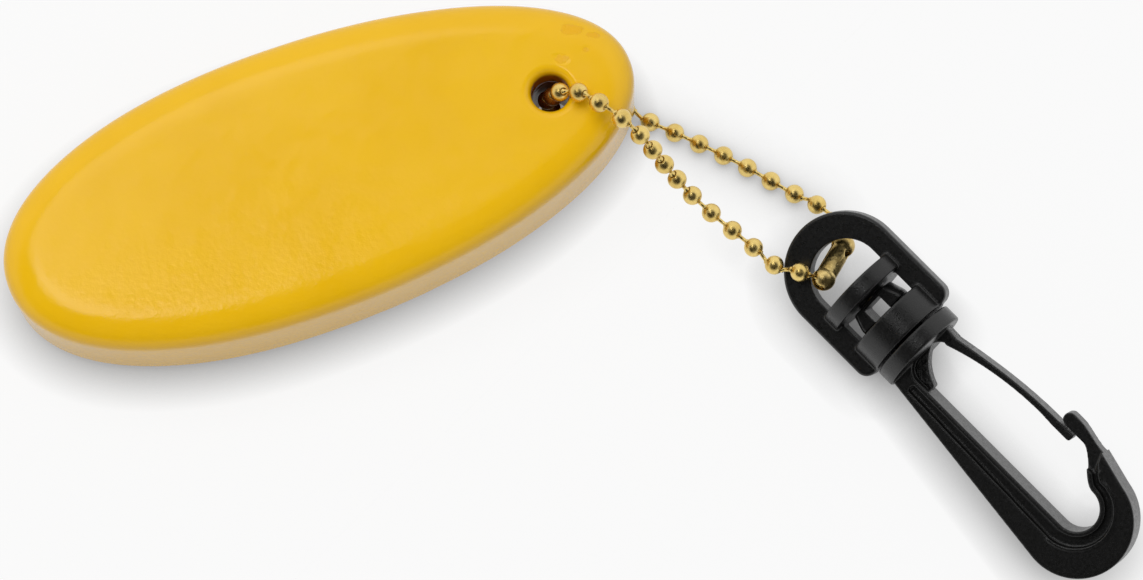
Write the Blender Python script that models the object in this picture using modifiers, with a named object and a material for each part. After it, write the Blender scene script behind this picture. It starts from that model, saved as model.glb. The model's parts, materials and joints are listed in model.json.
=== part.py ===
"""Floating keychain: a painted wooden float, a closed ball chain through its bore, and a moulded
swivel snap hook that hangs in the chain loop. Metres, +Z up, lying on z = 0."""
import math

import bmesh
import bpy
from mathutils import Matrix, Vector

# Float: a slab with an oval outline
FLOAT_LENGTH = 0.1094
FLOAT_WIDTH = 0.0461
FLOAT_THICKNESS = 0.0205
FLOAT_EDGE_RADIUS = 0.005
FLOAT_ROUNDNESS = 2.11
FLOAT_TAPER = 0.063
FLOAT_HEADING = math.radians(20.2)
BORE_RADIUS = 0.00315
BORE_LIP = 0.0016
BORE_FROM_END = 0.01465
BORE_OFFSET = -0.0013
BORE_PLACE = (-0.00356, 0.02816)

# Ball chain
BEAD_RADIUS = 0.0016
BEAD_WALL = 0.00025
BEAD_HOLE_RADIUS = 0.00068
CHAIN_BEADS = 32
LINK_RADIUS = 0.00027
KNOB_RADIUS = 0.00062
KNOB_INSET = 0.0008
CHAIN_CLEARANCE = 0.00012
CHAIN_DROOP = 0.337
CHAIN_HUMP = 0.0027
CHAIN_BOW = 0.0019
CHAIN_LANDING = 0.0032
CHAIN_SWAY = 0.0006
CHAIN_CROSSING = (-0.0003, 0.00118)
ENTRY_TURN = math.radians(32)
ROLL_START = 118
EDGE_SHARE = 0.83
LOWER_RIM_MARGIN = 0.0014
LOWER_BOW = 0.0024
LOWER_SWAY = 0.0007
FINISH_HEIGHT_SHARE = 0.47
UNDER_HEIGHT_SHARE = 0.8
UPPER_LEAVE_HEADING = 12
LOWER_LEAVE_HEADING = 3
SHOULDER_ANGLE = math.radians(48.7)
SHOULDER_INSET = 0.0012
RIM_ANGLE = math.radians(41.8)
RIM_MARGIN = 0.00104
FINISH_ANGLE = math.radians(25.4)
FINISH_MARGIN = 0.0031
UNDER_ANGLE = math.radians(34.3)
UNDER_INSET = 0.0002

# Chain connector
CUP_WALL = 0.00028
CUP_CLEARANCE = 0.00015
CUP_SPACING = 0.0071
WAIST_RADIUS = 0.00175
CUP_MOUTH_RADIUS = 0.0009
SLOT_WIDTH = 0.0012
WINDOW_RADIUS = 0.00085
NOTCH_RADIUS = 0.0009
NOTCH_FROM_AXIS = 0.0014
NOTCH_PLACE = 0.6
CONNECTOR_GAP = 0.001
CONNECTOR_DROP = 0.0029
CONNECTOR_SLANT = math.radians(-17)
CONNECTOR_RISE = 0.0018

# Swivel: its axis lies level, and its bands and flange rest on the ground by their rims
SWIVEL_ORIGIN = (0.05858, -0.01249)
SWIVEL_HEADING = math.radians(-46.35)
SWIVEL_ROLL = math.radians(26.0)
BAND_RADIUS = 0.0079
RUNNING_GAP = 0.00045
LOOP_WIDTH = 0.0208
LOOP_TOP = -0.0292
LOOP_RAIL = 0.0041
LOOP_CROWN = 0.0007
LOOP_DEPTH = 0.0036
LOOP_CORNER = 0.0021
LOWER_BAND_WIDTH = 0.0051
UPPER_BAND_WIDTH = 0.003
BAND_GAP = 0.0043
FLANGE_WIDTH = 0.00305
STEM_RADIUS = 0.0031
STEM_CLEARANCE = 0.0004
HEAD_RADIUS = 0.005
HEAD_NECK_RADIUS = 0.0042
HEAD_BARB = 0.0008
HEAD_DEPTH = 0.0056
HEAD_BRIDGE = 0.0006
TIP_RADIUS = 0.0025
TIP_LENGTH = 0.0026
STEM_SLOT = 0.0036

# Snap hook, in the swivel's plane: x runs from the flange to the hook's end, y towards the gate
HOOK_DEPTH = 0.0066
SPINE_ROOT_OUTER = -0.0068
SPINE_INNER = -0.0038
BEND_CENTRE = (0.0375, -0.0015)
BEND_RADIUS = 0.0097
BEND_END = 80
CROTCH_ALONG = 0.0361
CROTCH_RADIUS = 0.00385
NOSE_TIP = 0.0238
NOSE_OUTER = 0.01075
NOSE_WIDTH = 0.00235
NOSE_DEPTH = 0.0036
NOSE_LENGTH = 0.0051
NOSE_SHOULDER = 0.00105
NOSE_SHELF = 0.0088
SHELF_SLANT = 0.003
GROOVE_START_WIDTH = 0.0013
GROOVE_WIDTH = 0.0021
GROOVE_END_WIDTH = 0.0009
GROOVE_DEPTH = 0.0011
RIB_WIDTH = 0.0009
FILLET_RADIUS = 0.0026
GUSSET_LENGTH = 0.0052
GUSSET_WEB = 0.0011
GUSSET_REACH = 0.0059
GUSSET_CURVE = 0.008
GUSSET_DEPTH = 0.003
EDGE_BEVEL = 0.0004
OVERSHOOT = 0.001

# Gate: a leaf that swings inward about its root
GATE_DEPTH = 0.004
GATE_ROOT = (0.0018, 0.0047)
GATE_ROOT_RADIUS = 0.001
GATE_SEAT_WALL = 0.0005
GATE_CLEARANCE = 0.0003
GATE_THICKNESS = 0.001
GATE_TIP_LENGTH = 0.0036
GATE_TIP_THICKNESS = 0.0013

ARC_STEPS = 10
HALVINGS = 40


def arc(centre, radius, start, end, steps=ARC_STEPS):
    """Points of a circle's arc, from start to end in degrees, both included."""
    points = []
    for i in range(steps + 1):
        angle = math.radians(start + (end - start) * i / steps)
        points.append((centre[0] + radius * math.cos(angle), centre[1] + radius * math.sin(angle)))
    return points


def arc_between(start, end, radius, steps=ARC_STEPS):
    """Points of an arc of that radius, which turns clockwise from start to end."""
    start = Vector(start)
    end = Vector(end)
    half_chord = (end - start) / 2
    aside = Vector((half_chord.y, -half_chord.x)).normalized()
    centre = start + half_chord + aside * math.sqrt(radius ** 2 - half_chord.length ** 2)
    first = math.atan2(start.y - centre.y, start.x - centre.x)
    sweep = 2 * math.asin(half_chord.length / radius)
    return arc(centre, radius, math.degrees(first), math.degrees(first - sweep), steps)


def s_curve(start, end, steps=ARC_STEPS):
    """Points that leave start and reach end along x, with a smooth step in y between them."""
    points = []
    for i in range(steps + 1):
        share = i / steps
        ease = share * share * (3 - 2 * share)
        points.append((start[0] + (end[0] - start[0]) * share, start[1] + (end[1] - start[1]) * ease))
    return points


def offset_line(points, distances):
    """The line moved sideways, to the right of its direction, by a distance at each point."""
    moved = []
    for i, distance in enumerate(distances):
        before = Vector(points[max(i - 1, 0)])
        after = Vector(points[min(i + 1, len(points) - 1)])
        direction = (after - before).normalized()
        moved.append((points[i][0] + direction.y * distance, points[i][1] - direction.x * distance))
    return moved


def new_collection(name):
    collection = bpy.data.collections.new(name)
    bpy.context.scene.collection.children.link(collection)
    return collection


def new_material(name, colour, roughness, metallic):
    material = bpy.data.materials.new(name)
    material.use_nodes = True
    shader = material.node_tree.nodes["Principled BSDF"]
    shader.inputs["Base Color"].default_value = (*colour, 1.0)
    shader.inputs["Roughness"].default_value = roughness
    shader.inputs["Metallic"].default_value = metallic
    material.diffuse_color = (*colour, 1.0)
    return material


def add_object(name, mesh, collection, material=None):
    made = bpy.data.objects.new(name, mesh)
    collection.objects.link(made)
    if material:
        mesh.materials.clear()
        mesh.materials.append(material)
    return made


def as_cutter(made):
    made.hide_render = True
    made.display_type = "WIRE"
    return made


def outline_mesh(points, depth):
    """A flat outline, extruded by depth about its own plane and closed."""
    curve = bpy.data.curves.new("outline", "CURVE")
    curve.dimensions = "2D"
    curve.fill_mode = "BOTH"
    curve.extrude = depth / 2
    spline = curve.splines.new("POLY")
    spline.points.add(len(points) - 1)
    for target, (x, y) in zip(spline.points, points):
        target.co = (x, y, 0, 1)
    spline.use_cyclic_u = True
    holder = bpy.data.objects.new("outline", curve)
    bpy.context.scene.collection.objects.link(holder)
    bpy.context.view_layer.update()
    mesh = bpy.data.meshes.new_from_object(holder.evaluated_get(bpy.context.evaluated_depsgraph_get()))
    bpy.data.objects.remove(holder)
    shape = bmesh.new()
    shape.from_mesh(mesh)
    bmesh.ops.remove_doubles(shape, verts=shape.verts, dist=0.00001)
    bmesh.ops.recalc_face_normals(shape, faces=shape.faces)
    for facing in (-1, 1):
        cap = [face for face in shape.faces if face.normal.z * facing > 0.99]
        bmesh.ops.dissolve_faces(shape, faces=cap)
    shape.to_mesh(mesh)
    shape.free()
    return mesh


def profile_mesh(profile, closed=False):
    """A profile in the XZ plane, as edges for a Screw modifier about Z."""
    mesh = bpy.data.meshes.new("profile")
    edges = [(i, i + 1) for i in range(len(profile) - 1)]
    if closed:
        edges.append((len(profile) - 1, 0))
    mesh.from_pydata([(radius, 0, height) for radius, height in profile], edges, [])
    return mesh


def add_turned(name, profile, steps, collection, material=None, closed=False):
    made = add_object(name, profile_mesh(profile, closed), collection, material)
    screw = made.modifiers.new("Turn", "SCREW")
    screw.axis = "Z"
    screw.steps = steps
    screw.render_steps = steps
    screw.use_merge_vertices = True
    screw.merge_threshold = 0.00001
    return made


def add_bevel(made, width, segments):
    bevel = made.modifiers.new("Edges", "BEVEL")
    bevel.width = width
    bevel.segments = segments
    bevel.limit_method = "ANGLE"
    bevel.angle_limit = math.radians(40)
    bevel.use_clamp_overlap = True
    return bevel


def add_boolean(made, other, operation):
    modifier = made.modifiers.new(operation.title(), "BOOLEAN")
    modifier.operation = operation
    modifier.solver = "EXACT"
    modifier.object = as_cutter(other)
    return modifier


def add_disc(name, radius, start, end, collection, steps=32):
    """A round solid about the swivel's axis, local X, from start to end."""
    mesh = bpy.data.meshes.new(name)
    shape = bmesh.new()
    turn = Matrix.Translation(((start + end) / 2, 0, 0)) @ Matrix.Rotation(math.radians(90), 4, "Y")
    bmesh.ops.create_cone(
        shape, cap_ends=True, segments=steps, radius1=radius, radius2=radius,
        depth=end - start, matrix=turn,
    )
    shape.to_mesh(mesh)
    shape.free()
    return add_object(name, mesh, collection)


def add_box(name, size, centre, collection):
    mesh = bpy.data.meshes.new(name)
    shape = bmesh.new()
    bmesh.ops.create_cube(shape, size=1.0, matrix=Matrix.Translation(centre) @ Matrix.Diagonal((*size, 1)))
    shape.to_mesh(mesh)
    shape.free()
    return add_object(name, mesh, collection)


def float_outline(steps=64):
    """The float's oval: a superellipse that is a little narrower at its bored end."""
    half_length = FLOAT_LENGTH / 2
    half_width = FLOAT_WIDTH / 2
    points = []
    for i in range(steps):
        angle = 2 * math.pi * i / steps
        cosine = math.cos(angle)
        sine = math.sin(angle)
        x = half_length * math.copysign(abs(cosine) ** (2 / FLOAT_ROUNDNESS), cosine)
        y = half_width * math.copysign(abs(sine) ** (2 / FLOAT_ROUNDNESS), sine)
        points.append((x, y * (1 - FLOAT_TAPER * x / half_length)))
    return points


def float_placement():
    """The float lies on its far end, and its bored end rests on the chain that runs under it."""
    lift = 2 * BEAD_RADIUS + 2 * CHAIN_CLEARANCE
    span = FLOAT_LENGTH - BORE_FROM_END - FLOAT_EDGE_RADIUS + BORE_RADIUS + BORE_LIP
    tilt = math.asin(lift / span)
    contact = Vector((-FLOAT_LENGTH / 2 + FLOAT_EDGE_RADIUS, 0, -FLOAT_THICKNESS / 2))
    turn = Matrix.Rotation(FLOAT_HEADING, 4, "Z") @ Matrix.Rotation(-tilt, 4, "Y")
    height = -(turn @ contact).z
    bore = turn @ bore_centre()
    return Matrix.Translation((BORE_PLACE[0] - bore.x, BORE_PLACE[1] - bore.y, height)) @ turn


def bore_centre():
    return Vector((FLOAT_LENGTH / 2 - BORE_FROM_END, BORE_OFFSET, 0))


def swivel_placement():
    turn = Matrix.Rotation(SWIVEL_HEADING, 4, "Z") @ Matrix.Rotation(SWIVEL_ROLL, 4, "X")
    return Matrix.Translation((*SWIVEL_ORIGIN, BAND_RADIUS)) @ turn


def loop_height(across, above):
    """World height of a point above the D's middle plane, at a level distance across its axis."""
    return BAND_RADIUS + across * math.tan(SWIVEL_ROLL) + above / math.cos(SWIVEL_ROLL)


def swivel_point(along, across, height):
    """World point given level distances along and across the swivel's axis, and its height."""
    level = Matrix.Rotation(SWIVEL_HEADING, 4, "Z") @ Vector((along, across, 0))
    return Vector((SWIVEL_ORIGIN[0] + level.x, SWIVEL_ORIGIN[1] + level.y, height))


def arch_centre():
    return LOOP_TOP + LOOP_WIDTH / 2


def opening_radius():
    return LOOP_WIDTH / 2 - LOOP_RAIL


def around_arch(radius, angle, side):
    """Level distances along and across the swivel's axis of a point round the middle of its arch."""
    return arch_centre() - radius * math.cos(angle), side * radius * math.sin(angle)


def build_float(parts, cutters, paint):
    placement = float_placement()
    body = add_object("float_body", outline_mesh(float_outline(), FLOAT_THICKNESS), parts, paint)
    add_bevel(body, FLOAT_EDGE_RADIUS, 3)
    body.matrix_world = placement
    half = FLOAT_THICKNESS / 2
    lip_outer = BORE_RADIUS + BORE_LIP
    top = arc((lip_outer, half - BORE_LIP), BORE_LIP, 90, 180, 3)
    bottom = arc((lip_outer, BORE_LIP - half), BORE_LIP, 180, 270, 3)
    profile = [(0, half + OVERSHOOT), (lip_outer, half + OVERSHOOT)]
    profile += top + bottom
    profile += [(lip_outer, -half - OVERSHOOT), (0, -half - OVERSHOOT)]
    bore = add_turned("bore_cutter", profile, 24, cutters)
    bore.matrix_world = placement @ Matrix.Translation(bore_centre())
    add_boolean(body, bore, "DIFFERENCE")
    return body


def cup_points():
    """Centres of the two beads that the connector holds, in the D's opening and half under its arch."""
    cup_radius = BEAD_RADIUS + CUP_CLEARANCE + CUP_WALL
    reach = CUP_SPACING / 2
    along_step = reach * math.sin(CONNECTOR_SLANT)
    across_step = reach * math.cos(CONNECTOR_SLANT)
    along = arch_centre() - CONNECTOR_DROP
    left_across = CONNECTOR_GAP + cup_radius - opening_radius()
    right_across = left_across + 2 * across_step
    low = loop_height(right_across, -LOOP_DEPTH / 2 - cup_radius)
    left = swivel_point(along - along_step, left_across, low + CONNECTOR_RISE)
    right = swivel_point(along + along_step, right_across, low)
    return left, right


def swayed(start, end, share, sway):
    """A point between start and end, set aside to the left of that line by sway at its middle."""
    line = end - start
    aside = Vector((-line.y, line.x, 0)).normalized()
    return start.lerp(end, share) + aside * sway * math.sin(math.pi * share)


def upper_guides(left):
    """From the left cup, over the D's rail and in a droop to the float, then down into its bore."""
    placement = float_placement()
    bore = bore_centre()
    seat = LOOP_DEPTH / 2 + BEAD_RADIUS + CHAIN_CLEARANCE
    guides = [left]
    for radius, angle in (
        (opening_radius() + SHOULDER_INSET, SHOULDER_ANGLE),
        (LOOP_WIDTH / 2 + RIM_MARGIN, RIM_ANGLE),
    ):
        along, across = around_arch(radius, angle, -1)
        guides.append(swivel_point(along, across, loop_height(across, seat)))
    rim = guides[-1]

    face = FLOAT_THICKNESS / 2 + BEAD_RADIUS + CHAIN_CLEARANCE
    towards = placement.inverted() @ rim - bore
    towards.z = 0
    towards.normalize()
    side = Vector((-towards.y, towards.x, 0))
    aside = side * CHAIN_BOW
    over = Vector((0, 0, face + CHAIN_HUMP))
    edge = placement @ (bore + towards * BORE_FROM_END * EDGE_SHARE + aside + over)
    for step in range(9, 0, -1):
        share = step / 10
        point = swayed(edge, rim, share, CHAIN_SWAY)
        point.z = rim.z + (edge.z - rim.z) * math.exp(-((share / CHAIN_DROOP) ** 2))
        guides.append(point)
    guides.append(edge)

    lip = BORE_RADIUS + BORE_LIP
    landing = towards * (lip + CHAIN_LANDING) + aside
    guides.append(placement @ (bore + landing + over))
    inward = towards * math.cos(ENTRY_TURN) + side * math.sin(ENTRY_TURN)
    roll = BORE_LIP + BEAD_RADIUS + CHAIN_CLEARANCE
    for distance, height in arc((lip, FLOAT_THICKNESS / 2 - BORE_LIP), roll, ROLL_START, 180, 4):
        guides.append(placement @ (bore + inward * distance + Vector((0, 0, height))))
    guides.append(placement @ (bore + Vector((*CHAIN_CROSSING, 0))))
    return guides


def lower_guides(right):
    """From the bore, round its lower lip and along the ground, up to the right cup under the arch."""
    placement = float_placement()
    bore = bore_centre()
    lip = BORE_RADIUS + BORE_LIP
    roll = BORE_LIP + BEAD_RADIUS + CHAIN_CLEARANCE
    ground = BEAD_RADIUS + CHAIN_CLEARANCE
    away = placement.to_3x3().transposed() @ heading_vector(UPPER_LEAVE_HEADING)
    away.z = 0
    away.normalize()
    guides = []
    for distance, height in arc((lip, BORE_LIP - FLOAT_THICKNESS / 2), roll, 180, 270, 4):
        guides.append(placement @ (bore + away * distance + Vector((0, 0, height))))

    mouth = placement @ (bore + Vector((0, 0, -FLOAT_THICKNESS / 2)))
    mouth.z = ground
    rim_crossing = mouth + heading_vector(LOWER_LEAVE_HEADING) * (BORE_FROM_END + LOWER_RIM_MARGIN)
    rise = right.z - ground
    along, across = around_arch(LOOP_WIDTH / 2 + FINISH_MARGIN, FINISH_ANGLE, 1)
    finish = swivel_point(along, across, ground + FINISH_HEIGHT_SHARE * rise)
    along, across = around_arch(LOOP_WIDTH / 2 - UNDER_INSET, UNDER_ANGLE, 1)
    under = swivel_point(along, across, ground + UNDER_HEIGHT_SHARE * rise)
    half_way = guides[-1].lerp(rim_crossing, 0.5)
    half_way.z = ground
    guides.append(half_way + heading_vector(LOWER_LEAVE_HEADING + 90) * LOWER_BOW)
    guides.append(rim_crossing)
    for step in (1, 2, 3):
        point = swayed(rim_crossing, finish, step * 0.28, LOWER_SWAY)
        point.z = ground
        guides.append(point)
    return guides + [finish, under, right]


def chain_guides():
    """Points that the chain runs through, from the connector's left cup round to its right cup."""
    left, right = cup_points()
    return upper_guides(left) + lower_guides(right)


def heading_vector(degrees):
    """A level unit vector, turned from +X."""
    return Vector((math.cos(math.radians(degrees)), math.sin(math.radians(degrees)), 0))


def smooth_route(guides, steps=24):
    """A centripetal Catmull-Rom curve through the guides."""
    ends = [guides[0] * 2 - guides[1]] + guides + [guides[-1] * 2 - guides[-2]]
    route = []
    for i in range(1, len(ends) - 2):
        p0, p1, p2, p3 = ends[i - 1:i + 3]
        t1 = math.sqrt((p1 - p0).length)
        t2 = t1 + math.sqrt((p2 - p1).length)
        t3 = t2 + math.sqrt((p3 - p2).length)
        for step in range(steps):
            t = t1 + (t2 - t1) * step / steps
            a1 = p0 * ((t1 - t) / t1) + p1 * (t / t1)
            a2 = p1 * ((t2 - t) / (t2 - t1)) + p2 * ((t - t1) / (t2 - t1))
            a3 = p2 * ((t3 - t) / (t3 - t2)) + p3 * ((t - t2) / (t3 - t2))
            b1 = a1 * ((t2 - t) / t2) + a2 * (t / t2)
            b2 = a2 * ((t3 - t) / (t3 - t1)) + a3 * ((t - t1) / (t3 - t1))
            route.append(b1 * ((t2 - t) / (t2 - t1)) + b2 * ((t - t1) / (t2 - t1)))
    route.append(guides[-1])
    return route


def walk(route, pitch, count):
    """Bead centres a chord of pitch apart along the route, and how far past the last one it runs."""
    centres = [route[0]]
    index = 0
    while len(centres) < count:
        while index < len(route) - 1 and (route[index + 1] - centres[-1]).length < pitch:
            index += 1
        if index == len(route) - 1:
            return centres, -pitch * (count - len(centres)) + (route[-1] - centres[-1]).length
        near = route[index]
        far = route[index + 1]
        low, high = 0.0, 1.0
        for _ in range(HALVINGS):
            middle = (low + high) / 2
            if (near.lerp(far, middle) - centres[-1]).length < pitch:
                low = middle
            else:
                high = middle
        centres.append(near.lerp(far, high))
    return centres, (route[-1] - centres[-1]).length


def bead_centres():
    """The chain's beads, spaced evenly along its route."""
    route = smooth_route(chain_guides())
    length = sum((b - a).length for a, b in zip(route, route[1:]))
    low = 0.0
    high = length / (CHAIN_BEADS - 1)
    for _ in range(HALVINGS):
        pitch = (low + high) / 2
        centres, left_over = walk(route, pitch, CHAIN_BEADS)
        if left_over < 0:
            high = pitch
        else:
            low = pitch
    centres, left_over = walk(route, low, CHAIN_BEADS)
    centres[-1] = route[-1]
    return centres


def bead_profile(link_length):
    """Half section of a hollow bead, open at its near pole, with its link out of the far pole."""
    inner_radius = BEAD_RADIUS - BEAD_WALL
    mouth = math.degrees(math.asin(BEAD_HOLE_RADIUS / BEAD_RADIUS))
    inner_mouth = math.degrees(math.asin(BEAD_HOLE_RADIUS / inner_radius))
    exit_angle = math.degrees(math.asin(LINK_RADIUS / BEAD_RADIUS))
    profile = []
    if link_length:
        end = BEAD_RADIUS + link_length + KNOB_INSET
        profile.append((0, end))
        profile.append((KNOB_RADIUS, end - KNOB_RADIUS * 0.5))
        profile.append((LINK_RADIUS, end - KNOB_RADIUS * 1.2))
        outer = arc((0, 0), BEAD_RADIUS, 90 - exit_angle, mouth - 90, 5)
    else:
        outer = arc((0, 0), BEAD_RADIUS, 90, mouth - 90, 5)
        outer[0] = (0, BEAD_RADIUS)
    inner = arc((0, 0), inner_radius, inner_mouth - 90, 90, 3)
    inner[-1] = (0, inner_radius)
    return profile + outer + inner


def build_bead(index, centres, tangents, parts, brass):
    centre = centres[index]
    tangent = tangents[index]
    is_last = index == len(centres) - 1
    link_length = 0.0
    if not is_last:
        leave = centre + tangent * BEAD_RADIUS
        enter = centres[index + 1] - tangents[index + 1] * BEAD_RADIUS
        link_length = (enter - leave).length
    bead = add_turned(f"chain_bead_{index + 1:02d}", bead_profile(link_length), 10, parts, brass)
    turn = tangent.to_track_quat("Z", "Y").to_matrix().to_4x4()
    placement = Matrix.Translation(centre) @ turn
    bpy.context.view_layer.update()
    mesh = bpy.data.meshes.new_from_object(bead.evaluated_get(bpy.context.evaluated_depsgraph_get()))
    bead.modifiers.clear()
    bead.data = mesh
    if not is_last:
        lean = Vector((0, 0, 1)).rotation_difference(turn.to_3x3().transposed() @ (enter - leave))
        pivot = Vector((0, 0, BEAD_RADIUS))
        for vertex in mesh.vertices:
            if vertex.co.z > BEAD_RADIUS:
                vertex.co = pivot + lean @ (vertex.co - pivot)
    mesh.shade_smooth()
    bead.matrix_world = placement
    return bead


def chain_tangents(centres, first, last):
    tangents = [first]
    for before, after in zip(centres, centres[2:]):
        tangents.append((after - before).normalized())
    tangents.append(last)
    return tangents


def build_chain(parts, brass):
    centres = bead_centres()
    first = (centres[1] - centres[0]).normalized()
    last = (centres[-1] - centres[-2]).normalized()
    tangents = chain_tangents(centres, first, last)
    for index in range(len(centres)):
        build_bead(index, centres, tangents, parts, brass)
    return centres


def build_connector(centres, parts, cutters, brass):
    """A folded brass strip: a cup for a bead at each end, a waist, and a slot along one side."""
    left = centres[0]
    right = centres[-1]
    axis = (right - left).normalized()
    inner_radius = BEAD_RADIUS + CUP_CLEARANCE
    outer_radius = inner_radius + CUP_WALL
    reach = (right - left).length / 2
    waist_inner = WAIST_RADIUS - CUP_WALL

    def half(radius, waist, mouth):
        mouth_angle = math.degrees(math.asin(mouth / radius))
        waist_angle = -math.degrees(math.acos(waist / radius))
        cup = arc((0, reach), radius, 90 - mouth_angle, waist_angle, 6)
        return [(max(r, 0.0001), z) for r, z in cup]

    outer = half(outer_radius, WAIST_RADIUS, CUP_MOUTH_RADIUS)
    inner = half(inner_radius, waist_inner, CUP_MOUTH_RADIUS)
    outer += [(r, -z) for r, z in reversed(outer)]
    inner += [(r, -z) for r, z in reversed(inner)]
    shell = add_turned("chain_connector", outer + inner[::-1], 16, parts, brass, closed=True)

    leave_left = (centres[1] - left).normalized()
    leave_right = (centres[-2] - right).normalized()
    side = leave_left + leave_right
    side = (side - axis * side.dot(axis)).normalized()
    up = axis.cross(side)
    turn = Matrix((side, up, axis)).transposed().to_4x4()
    placement = Matrix.Translation((left + right) / 2) @ turn
    shell.matrix_world = placement
    length = 2 * (reach + outer_radius + OVERSHOOT)
    slot = add_box("slot_cutter", (2 * outer_radius, SLOT_WIDTH, length), (outer_radius, 0, 0), cutters)
    slot.matrix_world = placement
    notch = add_disc("notch_cutter", NOTCH_RADIUS, 0, 2 * outer_radius, cutters, 12)
    at = Vector((-NOTCH_FROM_AXIS, 0, reach * NOTCH_PLACE))
    notch.matrix_world = placement @ Matrix.Translation(at) @ Matrix.Rotation(math.radians(90), 4, "Z")
    windows = []
    for cup, neighbour in ((left, centres[1]), (right, centres[-2])):
        window = add_disc("window_cutter", WINDOW_RADIUS, 0, 2 * outer_radius, cutters, 12)
        turn = (neighbour - cup).to_track_quat("X", "Z").to_matrix().to_4x4()
        window.matrix_world = Matrix.Translation(cup) @ turn
        windows.append(window)
    for cutter in (slot, notch, *windows):
        add_boolean(shell, cutter, "DIFFERENCE")
    return shell


def build_swivel_loop(parts, cutters, plastic):
    placement = swivel_placement()
    lower_end = -FLANGE_WIDTH - RUNNING_GAP
    lower_start = lower_end - LOWER_BAND_WIDTH
    upper_end = lower_start - BAND_GAP
    upper_start = upper_end - UPPER_BAND_WIDTH
    half = LOOP_WIDTH / 2
    arch = arch_centre()
    outline = arc((arch, 0), half, 90, 270, 2 * ARC_STEPS)
    outline += arc((lower_end - LOOP_CORNER, LOOP_CORNER - half), LOOP_CORNER, -90, 0, 4)
    outline += arc((lower_end - LOOP_CORNER, half - LOOP_CORNER), LOOP_CORNER, 0, 90, 4)
    loop = add_object("swivel_loop", outline_mesh(outline, LOOP_DEPTH), parts, plastic)
    add_bevel(loop, EDGE_BEVEL, 1)

    inner = opening_radius()
    opening_outline = arc((arch + LOOP_CROWN, 0), inner, 90, 270, 2 * ARC_STEPS)
    opening_outline += [(lower_end + OVERSHOOT, -inner), (lower_end + OVERSHOOT, inner)]
    opening = add_object("opening_cutter", outline_mesh(opening_outline, 4 * LOOP_DEPTH), cutters)
    add_boolean(loop, opening, "DIFFERENCE")
    for name, start, end in (
        ("lower_band", lower_start, lower_end),
        ("upper_band", upper_start, upper_end),
    ):
        band = add_disc(name, BAND_RADIUS, start, end, cutters)
        add_bevel(band, EDGE_BEVEL / 2, 1)
        band.matrix_world = placement
        add_boolean(loop, band, "UNION")
    lower_bore = add_disc(
        "lower_bore_cutter", STEM_RADIUS + STEM_CLEARANCE, lower_start - OVERSHOOT, lower_end + OVERSHOOT, cutters, 24
    )
    upper_bore = add_disc(
        "upper_bore_cutter", TIP_RADIUS + STEM_CLEARANCE, upper_start - OVERSHOOT, upper_end + OVERSHOOT, cutters, 24
    )
    for cutter in (lower_bore, upper_bore):
        cutter.matrix_world = placement
        add_boolean(loop, cutter, "DIFFERENCE")
    opening.matrix_world = placement
    loop.matrix_world = placement
    return loop


def stem_profile():
    """The swivel stem: a shank in the lower band, a barbed head above it, and a tip that steers it."""
    shank_end = FLANGE_WIDTH + RUNNING_GAP + LOWER_BAND_WIDTH + RUNNING_GAP
    head_end = FLANGE_WIDTH + RUNNING_GAP + LOWER_BAND_WIDTH + BAND_GAP - RUNNING_GAP
    return [
        (0, head_end + TIP_LENGTH),
        (TIP_RADIUS * 0.8, head_end + TIP_LENGTH),
        (TIP_RADIUS, head_end + TIP_LENGTH * 0.8),
        (TIP_RADIUS, head_end),
        (HEAD_NECK_RADIUS, head_end),
        (HEAD_RADIUS, shank_end + HEAD_BARB),
        (HEAD_RADIUS, shank_end),
        (STEM_RADIUS, shank_end),
        (STEM_RADIUS, FLANGE_WIDTH / 2),
        (0, FLANGE_WIDTH / 2),
    ]


def nose_inner():
    return NOSE_OUTER - NOSE_WIDTH


def eye_line():
    """The inner edge of the eye, from the fillet at the flange along the spine and round to the nose."""
    crotch = (CROTCH_ALONG, SPINE_INNER + CROTCH_RADIUS)
    line = [(FILLET_RADIUS, SPINE_INNER)]
    line += arc(crotch, CROTCH_RADIUS, -90, 90, ARC_STEPS)
    line += s_curve(line[-1], (NOSE_TIP + NOSE_LENGTH, nose_inner()))[1:]
    return line


def hook_outline():
    """The hook's outline: spine, bend, nose and eye, counter-clockwise from the flange."""
    spine_angle = 90 + math.degrees(
        math.atan2(SPINE_ROOT_OUTER - (BEND_CENTRE[1] - BEND_RADIUS), BEND_CENTRE[0])
    )
    outline = [(-FLANGE_WIDTH / 2, SPINE_ROOT_OUTER), (0, SPINE_ROOT_OUTER)]
    outline += arc(BEND_CENTRE, BEND_RADIUS, -spine_angle, BEND_END, 2 * ARC_STEPS)
    tip_radius = NOSE_WIDTH / 2
    shoulder = (NOSE_TIP + NOSE_SHELF, NOSE_OUTER - NOSE_SHOULDER)
    outline += s_curve(shoulder, (NOSE_TIP + 2 * tip_radius, NOSE_OUTER), 6)
    outline += arc((NOSE_TIP + tip_radius, NOSE_OUTER - tip_radius), tip_radius, 90, 270, 6)
    outline += eye_line()[:0:-1]
    fillet = (FILLET_RADIUS, SPINE_INNER + FILLET_RADIUS)
    outline += arc(fillet, FILLET_RADIUS, 270, 180, 6)
    outline.append((-FLANGE_WIDTH / 2, SPINE_INNER + FILLET_RADIUS))
    return outline


def groove_outline():
    """The channel in each face, which follows the eye's edge at the width of a rib."""
    line = eye_line()[:-3]
    last = len(line) - 1
    ribs = [RIB_WIDTH] * len(line)
    widths = []
    for i in range(len(line)):
        share = max(i - 1, 0) / (last - 1)
        low, high = (GROOVE_WIDTH, GROOVE_END_WIDTH) if i else (GROOVE_START_WIDTH, 0)
        widths.append(RIB_WIDTH + low + (high - low) * share)
    return offset_line(line, ribs) + offset_line(line, widths)[::-1]


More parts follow.
